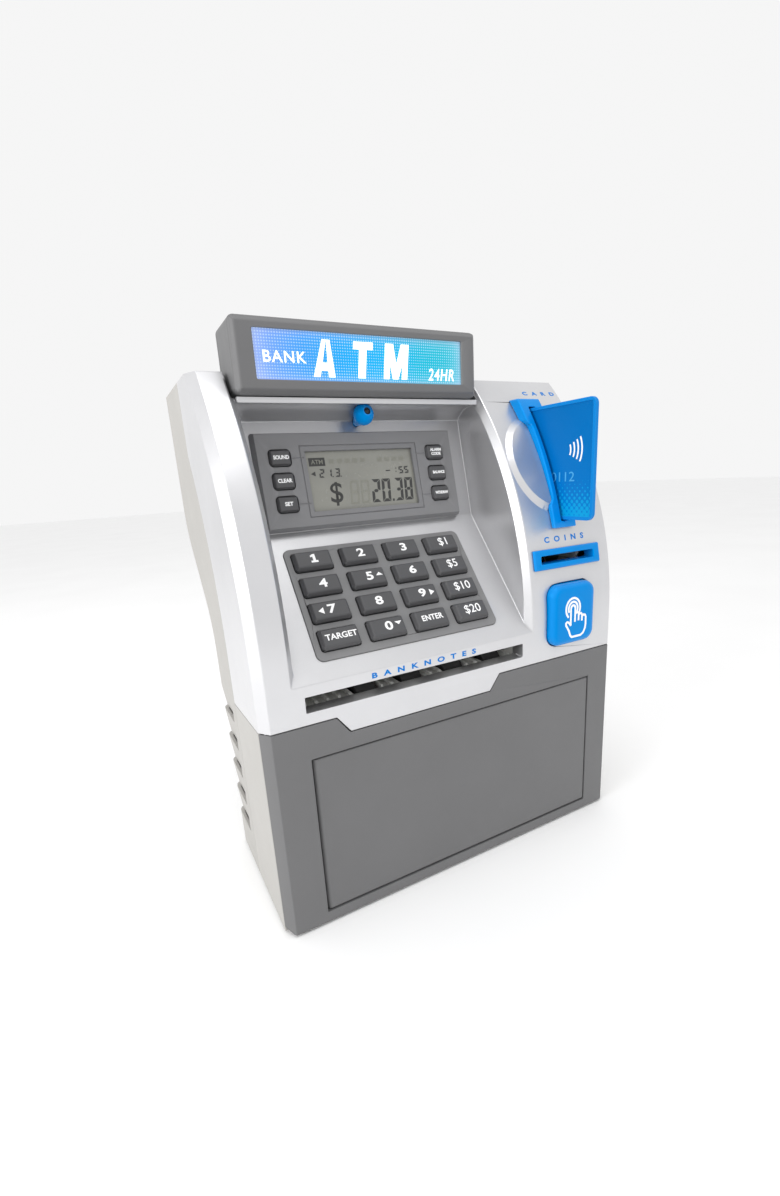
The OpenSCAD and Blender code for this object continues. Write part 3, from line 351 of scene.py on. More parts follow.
def lcd_material():
    """Grey-green glass with a faint grain and a slow drift in brightness."""
    mat, tree, shader = new_material("screen_glass")
    colour = srgb_ramp(tree, noise(tree, 24, 2, 0.5, (1, 1, 2.5)), [
        (0.3, (134, 134, 127)), (0.7, (145, 145, 137))])
    tree.links.new(colour, shader.inputs["Base Color"])
    uneven = fade(tree, noise(tree, 300, 3, 0.6), -0.6, 4.0)
    tree.links.new(uneven, shader.inputs["Roughness"])
    relief(tree, shader, noise(tree, 900, 2, 0.6), 0.25, 0.00001)
    shader.inputs["Coat Weight"].default_value = 0.4
    shader.inputs["Coat Roughness"].default_value = 0.1
    return mat


def card_material():
    """Blue print that turns cyan near the foot through dots that grow downwards."""
    mat, tree, shader = new_material("card_print")
    low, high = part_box("card")
    _, y, z = axes_of(tree)
    colour = srgb_ramp(tree, fade(tree, z, low.z, high.z), [
        (0.0, (0, 120, 198)), (0.35, (0, 112, 188)), (1.0, (0, 106, 178))])
    turned = [calc(tree, "MULTIPLY", calc(tree, op, y, z), DIAGONAL) for op in ("ADD", "SUBTRACT")]
    foot = fade(tree, z, low.z + CARD_DOTS_TOP, low.z + CARD_DOTS_FOOT)
    spots = dots(tree, *turned, CARD_DOT_PITCH, calc(tree, "MULTIPLY", foot, 0.62))
    colour = mix_colour(tree, calc(tree, "MULTIPLY", spots, 0.85), colour, lin((8, 158, 212)))
    # Painted highlight: a paler border where light catches the card's edges
    inset = [calc(tree, "MINIMUM", calc(tree, "SUBTRACT", value, near),
                  calc(tree, "SUBTRACT", far, value))
             for value, near, far in ((y, low.y, high.y), (z, low.z, high.z))]
    rim = fade(tree, calc(tree, "MINIMUM", *inset), CARD_LIT_EDGE_WIDTH + 0.0002, CARD_LIT_EDGE_WIDTH)
    colour = mix_colour(tree, rim, colour, lin((14, 128, 206)))
    tree.links.new(colour, shader.inputs["Base Color"])
    uneven = fade(tree, noise(tree, 300, 3, 0.6), -0.9, 3.0)
    tree.links.new(uneven, shader.inputs["Roughness"])
    shader.inputs["Specular IOR Level"].default_value = 0.12
    return mat


MATS = {
    # The silver paint carries painted shade in its corners and recesses
    "silver": plastic("silver_paint", (215, 215, 217), 0.31, 0.000016, 2600, 0.025,
                      metallic=0.76, wear_and_sheen=0.05, painted_shade=0.34),
    "warm": plastic("warm_grey_plastic", (172, 170, 166), 0.52, 0.00005, 1800, 0.03),
    "dark": plastic("dark_grey_plastic", (106, 106, 107), 0.50, 0.00005, 1800, 0.03),
    "bezel": plastic("mid_grey_plastic", (124, 124, 126), 0.50, 0.00005, 1800, 0.03),
    "key": plastic("key_rubber", (77, 77, 79), 0.46, 0.00003, 2600, 0.04, wear_and_sheen=0.05),
    "pad": plastic("pad_plate", (126, 126, 127), 0.48, 0.00004, 2400, 0.03, wear_and_sheen=0.05),
    # The blue plastic's strongly paled edges are a painted highlight
    "blue": plastic("blue_plastic", (0, 136, 216), 0.2, 0.00001, 1600, 0.03,
                    spec=0.45, wear_and_sheen=0.4, tint=(20, 160, 255)),
    "white": plastic("white_plastic", (228, 228, 224), 0.45),
    "black": plastic("black_plastic", (18, 18, 20), 0.4),
    "rubber": plastic("black_rubber", (24, 24, 24), 0.75, 0.00008, 1400),
    "mat": plastic("silicone_mat", (190, 190, 182), 0.62, 0.00005, 900),
    "steel": plastic("plated_steel", (170, 170, 174), 0.3, 0.00001, 3000, 0.04, metallic=1.0),
    "brass": plastic("turned_brass", (190, 150, 70), 0.3, 0.00001, 3000, 0.05, metallic=1.0),
    "board": plastic("circuit_board", (26, 92, 52), 0.35, 0.00003, 900, 0.12),
    "ink_white": plastic("white_ink", (250, 250, 250), 0.5, 0.00001, 1500, 0.01),
    "ink_blue": plastic("blue_ink", (0, 122, 206), 0.45, 0.00001, 1500, 0.02, spec=0.1, wear_and_sheen=0.0),
    "ink_pale": plastic("pale_blue_ink", (40, 156, 212), 0.45, 0.00001, 1500, 0.02),
    "ink_lcd": plastic("liquid_crystal", (24, 25, 22), 0.35, 0.00001, 1500, 0.03),
    "ink_ghost": plastic("unlit_crystal", (124, 124, 114), 0.35, 0.00001, 1500, 0.02),
    "sign": sign_material(),
    "sign_ink": sign_ink_material(),
    "lcd": lcd_material(),
    "card": card_material(),
}

# ---------- Pieces made from CAD nodes, with their edges softened ----------

JOIN_GAP = 0.000004  # points nearer each other than this are one, in metres
FLAT_GAP = 0.000002  # a point nearer a plane than this lies in it, in metres
FLAT_DOT = 0.9999  # least dot product of the normals of two faces in one plane
CRISP_TURN = math.radians(20)  # edges sharper than this look hard inside the spare boxes
HARD_TURN = math.radians(40)  # and outside them


def link(obj):
    bpy.context.scene.collection.objects.link(obj)
    return obj


def flat_patch(first, seen):
    """The faces joined to first that lie in its plane."""
    patch, stack = [], [first]
    middle = first.calc_center_median()
    normal = first.normal.copy()
    while stack:
        face = stack.pop()
        patch.append(face)
        for edge in face.edges:
            for other in edge.link_faces:
                if other in seen or other.normal.dot(normal) < FLAT_DOT:
                    continue
                if all(abs((v.co - middle).dot(normal)) < FLAT_GAP for v in other.verts):
                    seen.add(other)
                    stack.append(other)
    return patch


def one_outline(patch):
    """True when the patch's rim is a single closed line, so it has no hole."""
    inside = set(patch)
    rim = {}
    for face in patch:
        for edge in face.edges:
            if sum(other in inside for other in edge.link_faces) == 1:
                for vert in edge.verts:
                    rim.setdefault(vert, []).append(edge)
    if any(len(edges) != 2 for edges in rim.values()):
        return False
    start = next(iter(rim))
    vert = start
    edge = rim[start][0]
    count = 0
    while True:
        vert = edge.other_vert(vert)
        count += 1
        if vert is start:
            return count == len(rim)
        edge = rim[vert][0] if rim[vert][1] is edge else rim[vert][1]


def merge_flats(bm):
    """Turns each flat patch without a hole into one face, so bevels run evenly round it."""
    seen, patches = set(), []
    bm.normal_update()
    for face in sorted(bm.faces, key=lambda f: -f.calc_area()):
        if face not in seen:
            seen.add(face)
            patches.append(flat_patch(face, seen))
    for patch in patches:
        if len(patch) > 1 and one_outline(patch):
            bmesh.ops.dissolve_faces(bm, faces=patch, use_verts=False)


def mark_edges(bm, angle, shortest, spare):
    """Marks the edges to bevel and those that look hard, as soften() says."""
    weight = bm.edges.layers.float.new("bevel_weight_edge")
    for edge in bm.edges:
        turn = edge.calc_face_angle(0.0)
        at = (edge.verts[0].co + edge.verts[1].co) / (2 * MM) - Vector((0, SHIFT_Y, SHIFT_Z))
        if any(all(a < v < b for a, v, b in zip(low, at, high)) for low, high in spare):
            edge.smooth = turn < CRISP_TURN
            continue
        if turn > math.radians(angle) and edge.calc_length() > shortest * MM:
            edge[weight] = 1.0
        edge.smooth = turn < HARD_TURN


def soften(node, width, mat, segments=2, angle=24, shortest=0.12, spare=(), merge=True):
    """A copy of a CAD node whose edges are rounded, to a width in millimetres.

    Edges that turn by more than angle degrees and are longer than shortest are rounded.
    Inside the spare boxes, given in the case frame, they stay crisp.
    """
    source = nodes[node]
    bm = bmesh.new()
    bm.from_mesh(source.data)
    bmesh.ops.remove_doubles(bm, verts=bm.verts, dist=JOIN_GAP)
    if merge:
        merge_flats(bm)
    for face in bm.faces:
        face.smooth = True
    mark_edges(bm, angle, shortest, spare)
    mesh = bpy.data.meshes.new(node + "_soft")
    bm.to_mesh(mesh)
    bm.free()
    obj = link(bpy.data.objects.new(node + "_soft", mesh))
    mesh.materials.append(MATS[mat])
    bevel = obj.modifiers.new("soft_edges", "BEVEL")
    bevel.limit_method = "WEIGHT"
    bevel.width = width * MM
    bevel.segments = segments
    bevel.use_clamp_overlap = False
    bevel.miter_outer = "MITER_ARC"
    even = obj.modifiers.new("even_shading", "WEIGHTED_NORMAL")
    even.keep_sharp = True
    even.weight = 80
    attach(obj, source["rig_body"])
    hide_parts(node)
    source.hide_render = True


# What each key says; ^ v < > are small triangles beside its figure
KEYS = {
    "key_1": "1", "key_2": "2", "key_3": "3", "key_note_1": "$1",
    "key_4": "4", "key_5": "5^", "key_6": "6", "key_note_5": "$5",
    "key_7": "<7", "key_8": "8", "key_9": "9>", "key_note_10": "$10",
    "key_target": "TARGET", "key_0": "0v", "key_enter": "ENTER", "key_note_20": "$20",
}
# Column and row from the middle, and the width of each word
SIDE_BUTTONS = {
    "button_sound": (-1, 1, {"SOUND": 8.2}), "button_clear": (-1, 0, {"CLEAR": 7.6}),
    "button_set": (-1, -1, {"SET": 4.4}), "button_alarm": (1, 1, {"ALARM": 7.6, "CODE": 6.4}),
    "button_balance": (1, 0, {"BALANCE": 8.0}), "button_withdraw": (1, -1, {"WITHDRAW": 8.8}),
}

# Boxes where holes and steps break up a face, so its edges stay crisp
SHELL_SPARE = [
    ((46.8, 5, 198), (104, 60, 258)),  # disc and card slot
    ((-88, 1, 133), (32, 52, 195)),  # rim round the key pad
    ((-93, -1, 115), (41, 4, 129)),  # banknote slot
    ((-40, 40, 235), (-10, 75, 262)),  # seat of the eye
]
SCREWS = [(x, z) for x in (-105.5, 105.5) for z in (12, 124, 258)]
SCREW_REACH = 4.5  # from a screw's axis to the side of its box
SCREW_SPARE = [((x - SCREW_REACH, 20, z - SCREW_REACH), (x + SCREW_REACH, 170, z + SCREW_REACH))
               for x, z in SCREWS]
LOUVRE_SPARE = [((side - 5, 64, 15), (side + 5, 150, 111)) for side in (-111, 111)]

soften("front_shell", 0.45, "silver", 3, spare=SHELL_SPARE)
soften("lower_fascia", 0.3, "dark")
soften("base_frame", 0.35, "warm")
soften("rear_shell", 0.3, "warm", merge=False, spare=SCREW_SPARE + LOUVRE_SPARE)
soften("vault_door", 0.35, "dark")
soften("sign_housing", 0.6, "dark", 3)
soften("sign_back", 0.4, "dark")
soften("display_bezel", 0.14, "bezel", shortest=0.6)
soften("keypad_plate", 0.25, "pad")
soften("card_bracket", 0.8, "blue", 4)
soften("coin_frame", 0.7, "blue", 4)
soften("card", 0.18, "card")
soften("battery_door", 0.3, "warm")
for key in KEYS:
    soften(key, 0.55, "key", 3)
for button in SIDE_BUTTONS:
    soften(button, 0.5, "key", 3)

# ---------- Touch button ----------

LEAST_CORNER = 0.8  # smallest radius that a block's corners shrink to


def rounded(w, h, r, steps=8):
    """Outline of a rounded rectangle, anticlockwise."""
    out = []
    for i, (sx, sy) in enumerate(((1, 1), (-1, 1), (-1, -1), (1, -1))):
        for k in range(steps + 1):
            a = math.radians(90 * (i + k / steps))
            out.append((sx * (w / 2 - r) + r * math.cos(a), sy * (h / 2 - r) + r * math.sin(a)))
    return out


def loft(name, parts):
    """Closed rounded blocks; each part is a width, height, radius and [inset, height] rings."""
    points, faces = [], []
    for w, h, r, rings in parts:
        start = len(points)
        for inset, z in rings:
            ring = rounded(w - 2 * inset, h - 2 * inset, max(r - inset, LEAST_CORNER))
            points += [(x, y, z) for x, y in ring]
        n = len(ring)
        for i in range(len(rings) - 1):
            a, b = start + i * n, start + (i + 1) * n
            faces += [[a + k, a + (k + 1) % n, b + (k + 1) % n, b + k] for k in range(n)]
        faces.append([start + k for k in reversed(range(n))])
        faces.append([len(points) - n + k for k in range(n)])
    mesh = bpy.data.meshes.new(name)
    mesh.from_pydata(points, [], faces)
    mesh.shade_smooth()
    return link(bpy.data.objects.new(name, mesh))


# The crowned cap, and the wider flange behind it
touch = loft("touch_cap", [
    (34, 36.4, 7, [(0, -5.0), (0, -4.6), (0, 0.9), (0.06, 1.6), (0.3, 2.4), (0.75, 3.15),
                   (1.4, 3.75), (2.3, 4.2), (3.4, 4.42), (4.6, 4.49), (6.2, 4.5)]),
    (36.6, 39.0, 7, [(0, -5.5), (0.05, -5.45), (0.05, -3.95), (0.1, -3.9)]),
])
touch.data.transform(on_front(COLUMN_X, TOUCH_Z))
touch.data.materials.append(MATS["blue"])
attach(touch, "touch")
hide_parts("touch_button")
nodes["touch_button"].hide_render = True

# ---------- CAD nodes that keep their own shape ----------

PLAIN = {
    "sign_lens": "sign", "lcd_module": "lcd", "eye_shell": "blue", "eye_lens": "black",
    "vault_box": "white", "sign_board": "white", "coin_chute": "white", "note_guide": "white",
    "feed_gear": "white", "idler_roller": "white", "display_board": "board",
    "main_board": "board", "door_pins": "steel", "latch_bolt": "steel",
    "battery_contacts": "steel", "case_screws": "steel", "feed_shaft": "steel",
    "feed_motor": "steel", "feet": "rubber", "feed_rollers": "rubber", "keypad_mat": "mat",
    "latch_coil": "black", "speaker": "black", "motor_pinion": "brass",
}
for node, finish in PLAIN.items():
    slots = nodes[node].data.materials
    slots.clear()
    slots.append(MATS[finish])

# ---------- Printed marks ----------

INK_SINK = 0.01  # how far a mark reaches into the surface that it stands on
TOP_STEP = 0.005  # between the tops of neighbouring outlines
CAPITALS = 0.7  # height of the typeface's capitals, as a part of its size
OVERLAP = 0.25  # how far a stroke's steps run over each other, as a part of its width


def place(obj, matrix, body, mat):
    obj.data.transform(matrix)
    obj.data.materials.clear()
    obj.data.materials.append(MATS[mat])
    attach(obj, body)


def prism(name, outlines, face, rise):
    """Closed flat prisms from [x, y] outlines, which stand on a surface at height face.

    Neighbours end at slightly different heights, so that no two tops lie in one plane.
    """
    points, faces = [], []
    for order, outline in enumerate(outlines):
        start, count = len(points), len(outline)
        top = face + rise + TOP_STEP * (order % 3)
        points += [(x, y, face - INK_SINK) for x, y in outline]
        points += [(x, y, top) for x, y in outline]
        faces.append([start + count + i for i in range(count)])
        faces.append([start + i for i in reversed(range(count))])
        for i in range(count):
            after = (i + 1) % count
            faces.append([start + i, start + after, start + count + after, start + count + i])
    mesh = bpy.data.meshes.new(name)
    mesh.from_pydata(points, [], faces)
    bm = bmesh.new()
    bm.from_mesh(mesh)
    bmesh.ops.recalc_face_normals(bm, faces=bm.faces)
    bm.to_mesh(mesh)
    bm.free()
    return link(bpy.data.objects.new(name, mesh))


def label(name, text, height, matrix, body, mat, face=0.0, thick=0.07, bold=0.0, shear=0.0,
          spacing=1.0, width=None, stretch=1.0, offset=(0.0, 0.0)):
    """Raised lettering on a surface at height face, with its middle at offset.

    height is the capitals' height, and width squeezes the line to fit.
    """
    curve = bpy.data.curves.new(name, "FONT")
    curve.body = text
    curve.size = height / CAPITALS
    curve.align_x = "CENTER"
    curve.align_y = "CENTER"
    curve.space_character = spacing
    curve.shear = shear
    curve.offset = bold
    curve.resolution_u = 4
    curve.extrude = thick / 2
    draft = link(bpy.data.objects.new(name + "_curve", curve))
    bpy.context.view_layer.update()
    mesh = bpy.data.meshes.new_from_object(draft.evaluated_get(
        bpy.context.evaluated_depsgraph_get()))
    bpy.data.objects.remove(draft)
    mesh.name = name
    obj = link(bpy.data.objects.new(name, mesh))
    xs = [v.co.x for v in mesh.vertices]
    ys = [v.co.y for v in mesh.vertices]
    squeeze = width / (max(xs) - min(xs)) if width else stretch
    # A dollar sign is taller than the capitals, so its line keeps its own height
    grow = 1.0 if "$" in text else height / (max(ys) - min(ys))
    middle_x = (max(xs) + min(xs)) / 2
    middle_y = (max(ys) + min(ys)) / 2
    for v in mesh.vertices:
        v.co.x = (v.co.x - middle_x) * squeeze + offset[0]
        v.co.y = (v.co.y - middle_y) * grow + offset[1]
        v.co.z += face - INK_SINK + thick / 2
    place(obj, matrix, body, mat)


def stroke(points, width):
    """Outlines of a line of that width along points, one quad a step, with square joins."""
    out = []
    for start, end in zip(points, points[1:]):
        a, b = Vector(start), Vector(end)
        along = (b - a).normalized()
        side = Vector((-along.y, along.x)) * width / 2
        a -= along * width * OVERLAP
        b += along * width * OVERLAP
        out.append([tuple(a - side), tuple(b - side), tuple(b + side), tuple(a + side)])
    return out


def arc(cx, cy, r, start, end, steps):
    """Points along an arc, from one angle in degrees to the other."""
    angles = [math.radians(start + (end - start) * i / steps) for i in range(steps + 1)]
    return [(cx + r * math.cos(a), cy + r * math.sin(a)) for a in angles]


# ---------- Marks on the keys and side buttons ----------

# Names that end in X are places across the bank, and in S places up the shelf or panel
KEY_PITCH_X = 26.0
KEY_PITCH_S = 14.8
KEY_FIRST_X = -67.0  # middle of the lower left key
KEY_FIRST_S = 19.7
KEY_TOP = 4.2  # height of a key's top over the shelf
KEY_INK = 0.06  # height of the print on it
LEGEND_AT = (0.4, 0.1)  # middle of a key's legend, from the key's own middle
WORD_WIDTHS = {"TARGET": 16.6, "ENTER": 12.8}
# Small triangles, drawn to the right of a figure, or to its left for <
TRIANGLES = {
    "^": ((1.5, 0.0), (0, 1.25), (-1.5, 0.0)), "v": ((0, 0.0), (1.5, 1.25), (-1.5, 1.25)),
    ">": ((-0.9, -1.2), (1.3, 0), (-0.9, 1.2)), "<": ((0.9, 1.2), (-1.3, 0), (0.9, -1.2)),
}
TRIANGLE_OUT = 5.6
TRIANGLE_WIDE = 1.3
TRIANGLE_TALL = 1.5
# The figure one with a foot and a flag
ONE = [(-1.7, -2.4), (2.0, -2.4), (2.0, -1.3), (0.95, -1.3), (0.95, 2.5), (-0.3, 2.5),
       (-1.6, 1.8), (-1.6, 0.7), (-0.5, 1.1), (-0.5, -1.3), (-1.7, -1.3)]

for i, (key, text) in enumerate(KEYS.items()):
    column, row = i % 4, 3 - i // 4
    at = on_shelf(KEY_FIRST_X + KEY_PITCH_X * column, KEY_FIRST_S + KEY_PITCH_S * row)
    body = key + "_cap"
    word = text.strip("^v<>")
    if word == "1":
        place(prism(key + "_legend", [ONE], KEY_TOP, KEY_INK), at, body, "ink_white")
    elif word in WORD_WIDTHS:
        label(key + "_legend", word, 3.2, at, body, "ink_white", KEY_TOP, bold=0.1,
              width=WORD_WIDTHS[word], offset=LEGEND_AT)
    else:
        bold, stretch = (0.04, 1.0) if "$" in word else (0.2, 1.25)
        label(key + "_legend", word, 4.9, at, body, "ink_white", KEY_TOP, bold=bold,
              stretch=stretch, offset=LEGEND_AT)
    for mark, corners in TRIANGLES.items():
        if mark in text:
            middle = LEGEND_AT[0] + (-TRIANGLE_OUT if mark == "<" else TRIANGLE_OUT)
            outline = [(x * TRIANGLE_WIDE + middle, y * TRIANGLE_TALL - 0.3) for x, y in corners]
            place(prism(key + "_arrow", [outline], KEY_TOP, KEY_INK), at, body, "ink_white")

BUTTON_TOP = 6.3  # height of a side button's top over the panel
BUTTONS_X = -26.5  # middle of the six side buttons
BUTTONS_S = 25.7
BUTTON_OUT = 46.5  # from that middle to each column
BUTTON_PITCH = 11.85
TWO_LINES = 1.15  # how far each of two lines is from the button's middle

for button, (column, row, words) in SIDE_BUTTONS.items():
    at = on_display(BUTTONS_X + column * BUTTON_OUT, BUTTONS_S + row * BUTTON_PITCH)
    tall = 2.1 if column < 0 else 1.75
    for i, (word, wide) in enumerate(words.items()):
        rise = TWO_LINES * (1 - 2 * i) if len(words) > 1 else 0.0
        label(f"{button}_legend_{i}", word, tall, at, button + "_cap", "ink_white",
              BUTTON_TOP, 0.06, 0.12, width=wide, offset=(0.2, rise))

# ---------- Words on the front shell ----------

label("label_banknotes", "BANKNOTES", 2.9, on_front(-25, 128.7), "case", "ink_blue",
      thick=0.06, bold=0.16, spacing=2.35, width=62.5)
label("label_coins", "COINS", 3.4, on_face(COLUMN_X, 47.4), "case", "ink_blue",
      thick=0.06, bold=0.16, spacing=2.3, width=30.5)
label("label_card", "CARD", 3.0, on_face(COLUMN_X + 18.6, 142.6), "case", "ink_blue",
      thick=0.06, bold=0.14, spacing=2.4, width=25.6)

# ---------- Sign print ----------

LENS = on_front(SIGN_X, 279.45, 42.05)
LETTER_FOOT = -9.0
LETTER_HIGH = 16.8
LETTER_LEAN = 0.19
# Heavy condensed capitals, in millimetres across and tenths of the height up
GLYPHS = {
    "A": [[(0, 0), (3.5, 0), (5.8, 10), (3.7, 10)], [(7.9, 0), (11.4, 0), (7.8, 10), (5.8, 10)],
          [(3.9, 1.7), (7.5, 1.7), (7.0, 3.9), (4.4, 3.9)]],
    "T": [[(0, 7.9), (10.8, 7.9), (10.8, 10), (0, 10)],
          [(3.3, 0), (7.5, 0), (7.5, 7.9), (3.3, 7.9)]],
    "M": [[(0, 0), (3.3, 0), (3.3, 10), (0, 10)], [(10.6, 0), (13.9, 0), (13.9, 10), (10.6, 10)],
          [(3.3, 4.4), (5.3, 0), (6.95, 0), (6.95, 4.4), (4.7, 10), (3.3, 10)],
          [(6.95, 0), (8.6, 0), (10.6, 4.4), (10.6, 10), (9.2, 10), (6.95, 4.4)]],
}

for glyph, left in (("A", -29.0), ("T", -8.6), ("M", 9.2)):
    outlines = [[(left + x + LETTER_LEAN * y, LETTER_FOOT + y * LETTER_HIGH / 10)
                 for x, y in shape] for shape in GLYPHS[glyph]]
    place(prism("sign_letter_" + glyph.lower(), outlines, 0.0, 0.08), LENS, "case", "sign_ink")
label("sign_hours", "24HR", 6.0, LENS, "case", "sign_ink", thick=0.08, bold=0.1, shear=0.2,
      spacing=1.14, width=16.6, offset=(44.6, -6.0))
label("sign_word", "BANK", 5.0, LENS, "case", "sign_ink", thick=0.08, bold=0.08,
      spacing=1.15, width=21.0, offset=(-42.5, -0.6))

# ---------- Screen ----------

SCREEN = on_display(SIGN_X, 24.9)
SCREEN_TOP = 2.6  # height of the glass over the panel
SCREEN_INK = 0.05
SEGMENTS = {
    "0": "abcdef", "1": "bc", "2": "abged", "3": "abgcd", "5": "afgcd", "8": "abcdefg",
}
SLANT = 0.08  # how far the figures lean to the right, per unit of height
BIG_FOOT = -13.2  # foot of the large figures, from the screen's middle
BIG_PITCH = 6.4
BIG_W = 5.3
BIG_H = 12.8
SMALL_FOOT = 2.0
SMALL_W = 2.9


def segment_outlines(letters, x, y, w, h, t):
    """Outlines of a seven-segment figure's lit bars, t thick, with its lower left at x, y."""
    g, m = t * 0.12, h / 2
    bars = {
        "a": [(w - g, h), (w - t - g, h - t), (t + g, h - t), (g, h)],
        "d": [(g, 0), (w - g, 0), (w - t - g, t), (t + g, t)],
        "g": [(t * 0.6 + g, m), (t + g, m - t / 2), (w - t - g, m - t / 2),
              (w - t * 0.6 - g, m), (w - t - g, m + t / 2), (t + g, m + t / 2)],
        "f": [(0, m + g), (t * 0.5, m + g), (t, m + t / 2 + g), (t, h - t - g), (0, h - g)],
        "e": [(0, g), (t, t + g), (t, m - t / 2 - g), (t * 0.5, m - g), (0, m - g)],
        "b": [(w, h - g), (w - t, h - t - g), (w - t, m + t / 2 + g), (w - t * 0.5, m + g),
              (w, m + g)],
        "c": [(w, g), (w, m - g), (w - t * 0.5, m - g), (w - t, m - t / 2 - g), (w - t, t + g)],
    }
    return [[(x + px + SLANT * py, y + py) for px, py in bars[k]] for k in letters]


def rectangle(x0, y0, x1, y1, slant=SLANT):
    return [(x + slant * (y - y0), y) for x, y in ((x0, y0), (x1, y0), (x1, y1), (x0, y1))]


def screen_marks(name, outlines, ink="ink_lcd", rise=SCREEN_INK):
    place(prism(name, outlines, SCREEN_TOP, rise), SCREEN, "case", ink)


big, unlit = [], []
for i, figure in enumerate("2038"):
    x = 3.4 + BIG_PITCH * i + (1.7 if i > 1 else 0)
    big += segment_outlines(SEGMENTS[figure], x, BIG_FOOT, BIG_W, BIG_H, 1.7)
for i in range(2):
    unlit += segment_outlines(SEGMENTS["8"], -9.8 + BIG_PITCH * i, BIG_FOOT, BIG_W, BIG_H, 1.2)
# The decimal point
big.append(rectangle(16.0, BIG_FOOT, 17.2, -11.9))
small = []
for x, figure in ((-25.6, "2"), (-21.4, "1"), (-16.6, "3"), (22.6, "5"), (26.1, "5")):
    tall = 4.6 if x < 0 else 4.0
    small += segment_outlines(SEGMENTS[figure], x, SMALL_FOOT, SMALL_W, tall, 0.85)
# Two points, a colon, a minus sign and a small arrow among the small figures
small += [rectangle(-18.2, 2.0, -17.6, 2.6), rectangle(-13.4, 2.0, -12.8, 2.6),
          rectangle(20.6, 3.0, 21.2, 3.6), rectangle(20.8, 4.8, 21.4, 5.4),
          rectangle(14.4, 3.7, 17.2, 4.3),
          [(-30.2, 4.2), (-27.6, 2.9), (-27.6, 5.5)]]
screen_marks("screen_amount", big)
screen_marks("screen_small_figures", small)
# Two groups of small unlit blocks near the top
for first, count in ((-19, 5), (10, 4)):
    unlit += [rectangle(first + 4.6 * i, 9.2, first + 3.2 + 4.6 * i, 11.6, 0)
              for i in range(count)]
screen_marks("screen_unlit", unlit, "ink_ghost", 0.02)
screen_marks("screen_tag", [rectangle(-30.4, 8.2, -21.2, 12.6, 0)])
label("screen_tag_word", "ATM", 2.3, SCREEN, "case", "ink_ghost",
      SCREEN_TOP + SCREEN_INK + INK_SINK, 0.03, 0.03, width=6.6, offset=(-25.8, 10.4))
label("screen_dollar", "$", 10.8, SCREEN, "case", "ink_lcd", SCREEN_TOP, 0.06, 0.12,
      shear=0.05, offset=(-17.5, -7.0))

# ---------- Card print ----------

CARD = on_card()
CARD_FACE = 0.7
waves = []
for i in range(4):
    waves += stroke(arc(-8.5, 230.2, 7.0 + 2.7 * i, -21 - i, 21 + i, 10), 0.95)
place(prism("card_waves", waves, CARD_FACE, 0.08), CARD, "card", "ink_white")
label("card_number", "0112", 5.2, CARD, "card", "ink_pale", CARD_FACE, 0.05,
      width=17.5, offset=(-7.2, 216.0))

# ---------- Touch button print ----------

TOUCH = on_front(COLUMN_X, TOUCH_Z, -4.5)
TIP = (-1.8, 3.6)  # middle of the pointing finger's round end
HAND_WIDE = 0.89
# The hand's outline from the pointing finger round the palm, two more fingers, two ripples
HAND = [
    [(0.1, -4.4)] + arc(*TIP, 1.9, 0, 180, 8) + [
        (-3.7, -6.2), (-5.6, -4.3), (-6.9, -3.9), (-7.9, -4.6), (-7.8, -5.8), (-5.2, -9.4),
        (-3.9, -12.4), (-2.6, -13.6), (5.6, -13.6), (8.0, -12.4), (9.5, -9.8), (9.9, -7.6),
        (9.9, -3.2), (9.2, -1.8), (7.8, -1.4), (6.6, -2.2)],
    [(6.4, -4.6), (6.4, -1.2), (5.4, -0.2), (4.2, -0.3), (3.5, -1.1)],
    [(3.3, -4.0), (3.3, -0.1), (2.4, 0.8), (1.2, 0.8), (0.4, 0.1)],
    arc(*TIP, 4.0, -28, 206, 20),
    arc(*TIP, 6.2, -28, 228, 28),
]
hand = []
for line in HAND:
    hand += stroke([(x * HAND_WIDE, y) for x, y in line], 1.25)
place(prism("touch_hand", hand, 0.0, 0.09), TOUCH, "touch", "ink_white")

# ---------- Camera, floor and light ----------

# Where the camera stands, and how far it turns to the right, down and about its own axis
CAMERA_AT = Vector((-158.2, -223.6 + SHIFT_Y, 221.3 + SHIFT_Z)) * MM
AZIMUTH = math.radians(27.58)
DOWN = math.radians(15.41)
ROLL = math.radians(-3.49)


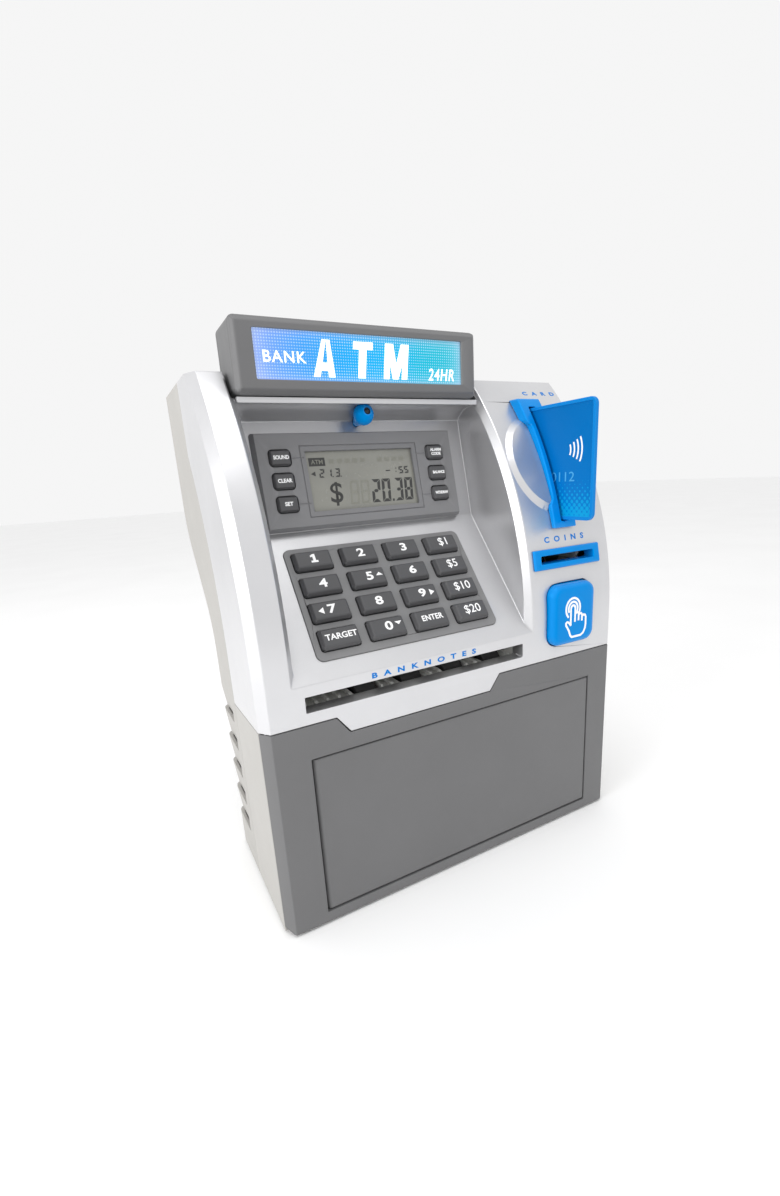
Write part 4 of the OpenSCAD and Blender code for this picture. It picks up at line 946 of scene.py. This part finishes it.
def make_camera():
    look = Vector((math.sin(AZIMUTH) * math.cos(DOWN), math.cos(AZIMUTH) * math.cos(DOWN),
                   -math.sin(DOWN)))
    level = Vector((math.cos(AZIMUTH), -math.sin(AZIMUTH), 0))
    above = level.cross(look)
    right = math.cos(ROLL) * level + math.sin(ROLL) * above
    up = math.cos(ROLL) * above - math.sin(ROLL) * level
    optics = bpy.data.cameras.new("camera")
    optics.sensor_fit = "AUTO"
    optics.sensor_width = 36
    optics.lens = 16.12
    optics.shift_x = -0.005
    optics.shift_y = 0.0227
    optics.clip_start = 0.01
    camera = link(bpy.data.objects.new("camera", optics))
    camera.location = CAMERA_AT
    camera.rotation_mode = "QUATERNION"
    camera.rotation_quaternion = Matrix((right, up, -look)).transposed().to_quaternion()
    bpy.context.scene.camera = camera


def make_world():
    bpy.context.scene.view_settings.view_transform = "Standard"
    world = bpy.data.worlds.new("studio")
    bpy.context.scene.world = world
    world.use_nodes = True
    background = world.node_tree.nodes["Background"]
    background.inputs["Color"].default_value = (1, 1, 1, 1)
    background.inputs["Strength"].default_value = 0.92


def softbox(name, at, target, size, power):
    """A square light at a point, turned to a target; size is in metres and power in watts."""
    light = bpy.data.lights.new(name, "AREA")
    light.shape = "RECTANGLE"
    light.size = size
    light.size_y = size
    light.energy = power
    obj = link(bpy.data.objects.new(name, light))
    obj.location = at
    obj.rotation_mode = "QUATERNION"
    obj.rotation_quaternion = (Vector(target) - Vector(at)).to_track_quat("-Z", "Y")


def make_floor(half):
    """A square of pale paper under the object, from -half to half, in metres."""
    mat, tree, shader = new_material("floor_paper")
    colour = ramp(tree, noise(tree, 6, 2, 0.5), [
        (0.3, (0.93, 0.93, 0.93)), (0.7, (0.95, 0.95, 0.95))])
    tree.links.new(colour, shader.inputs["Base Color"])
    shader.inputs["Roughness"].default_value = 0.85
    mesh = bpy.data.meshes.new("floor")
    corners = [(-half, -half, 0), (half, -half, 0), (half, half, 0), (-half, half, 0)]
    mesh.from_pydata(corners, [], [(0, 1, 2, 3)])
    mesh.materials.append(mat)
    link(bpy.data.objects.new("floor", mesh))


make_camera()
make_world()
softbox("key_light", (-1.3, -0.25, 0.55), (0, 0, 0.15), 0.6, 7.5)
softbox("top_light", (-0.15, -0.3, 1.3), (0, 0, 0.1), 0.7, 4.0)
make_floor(6)
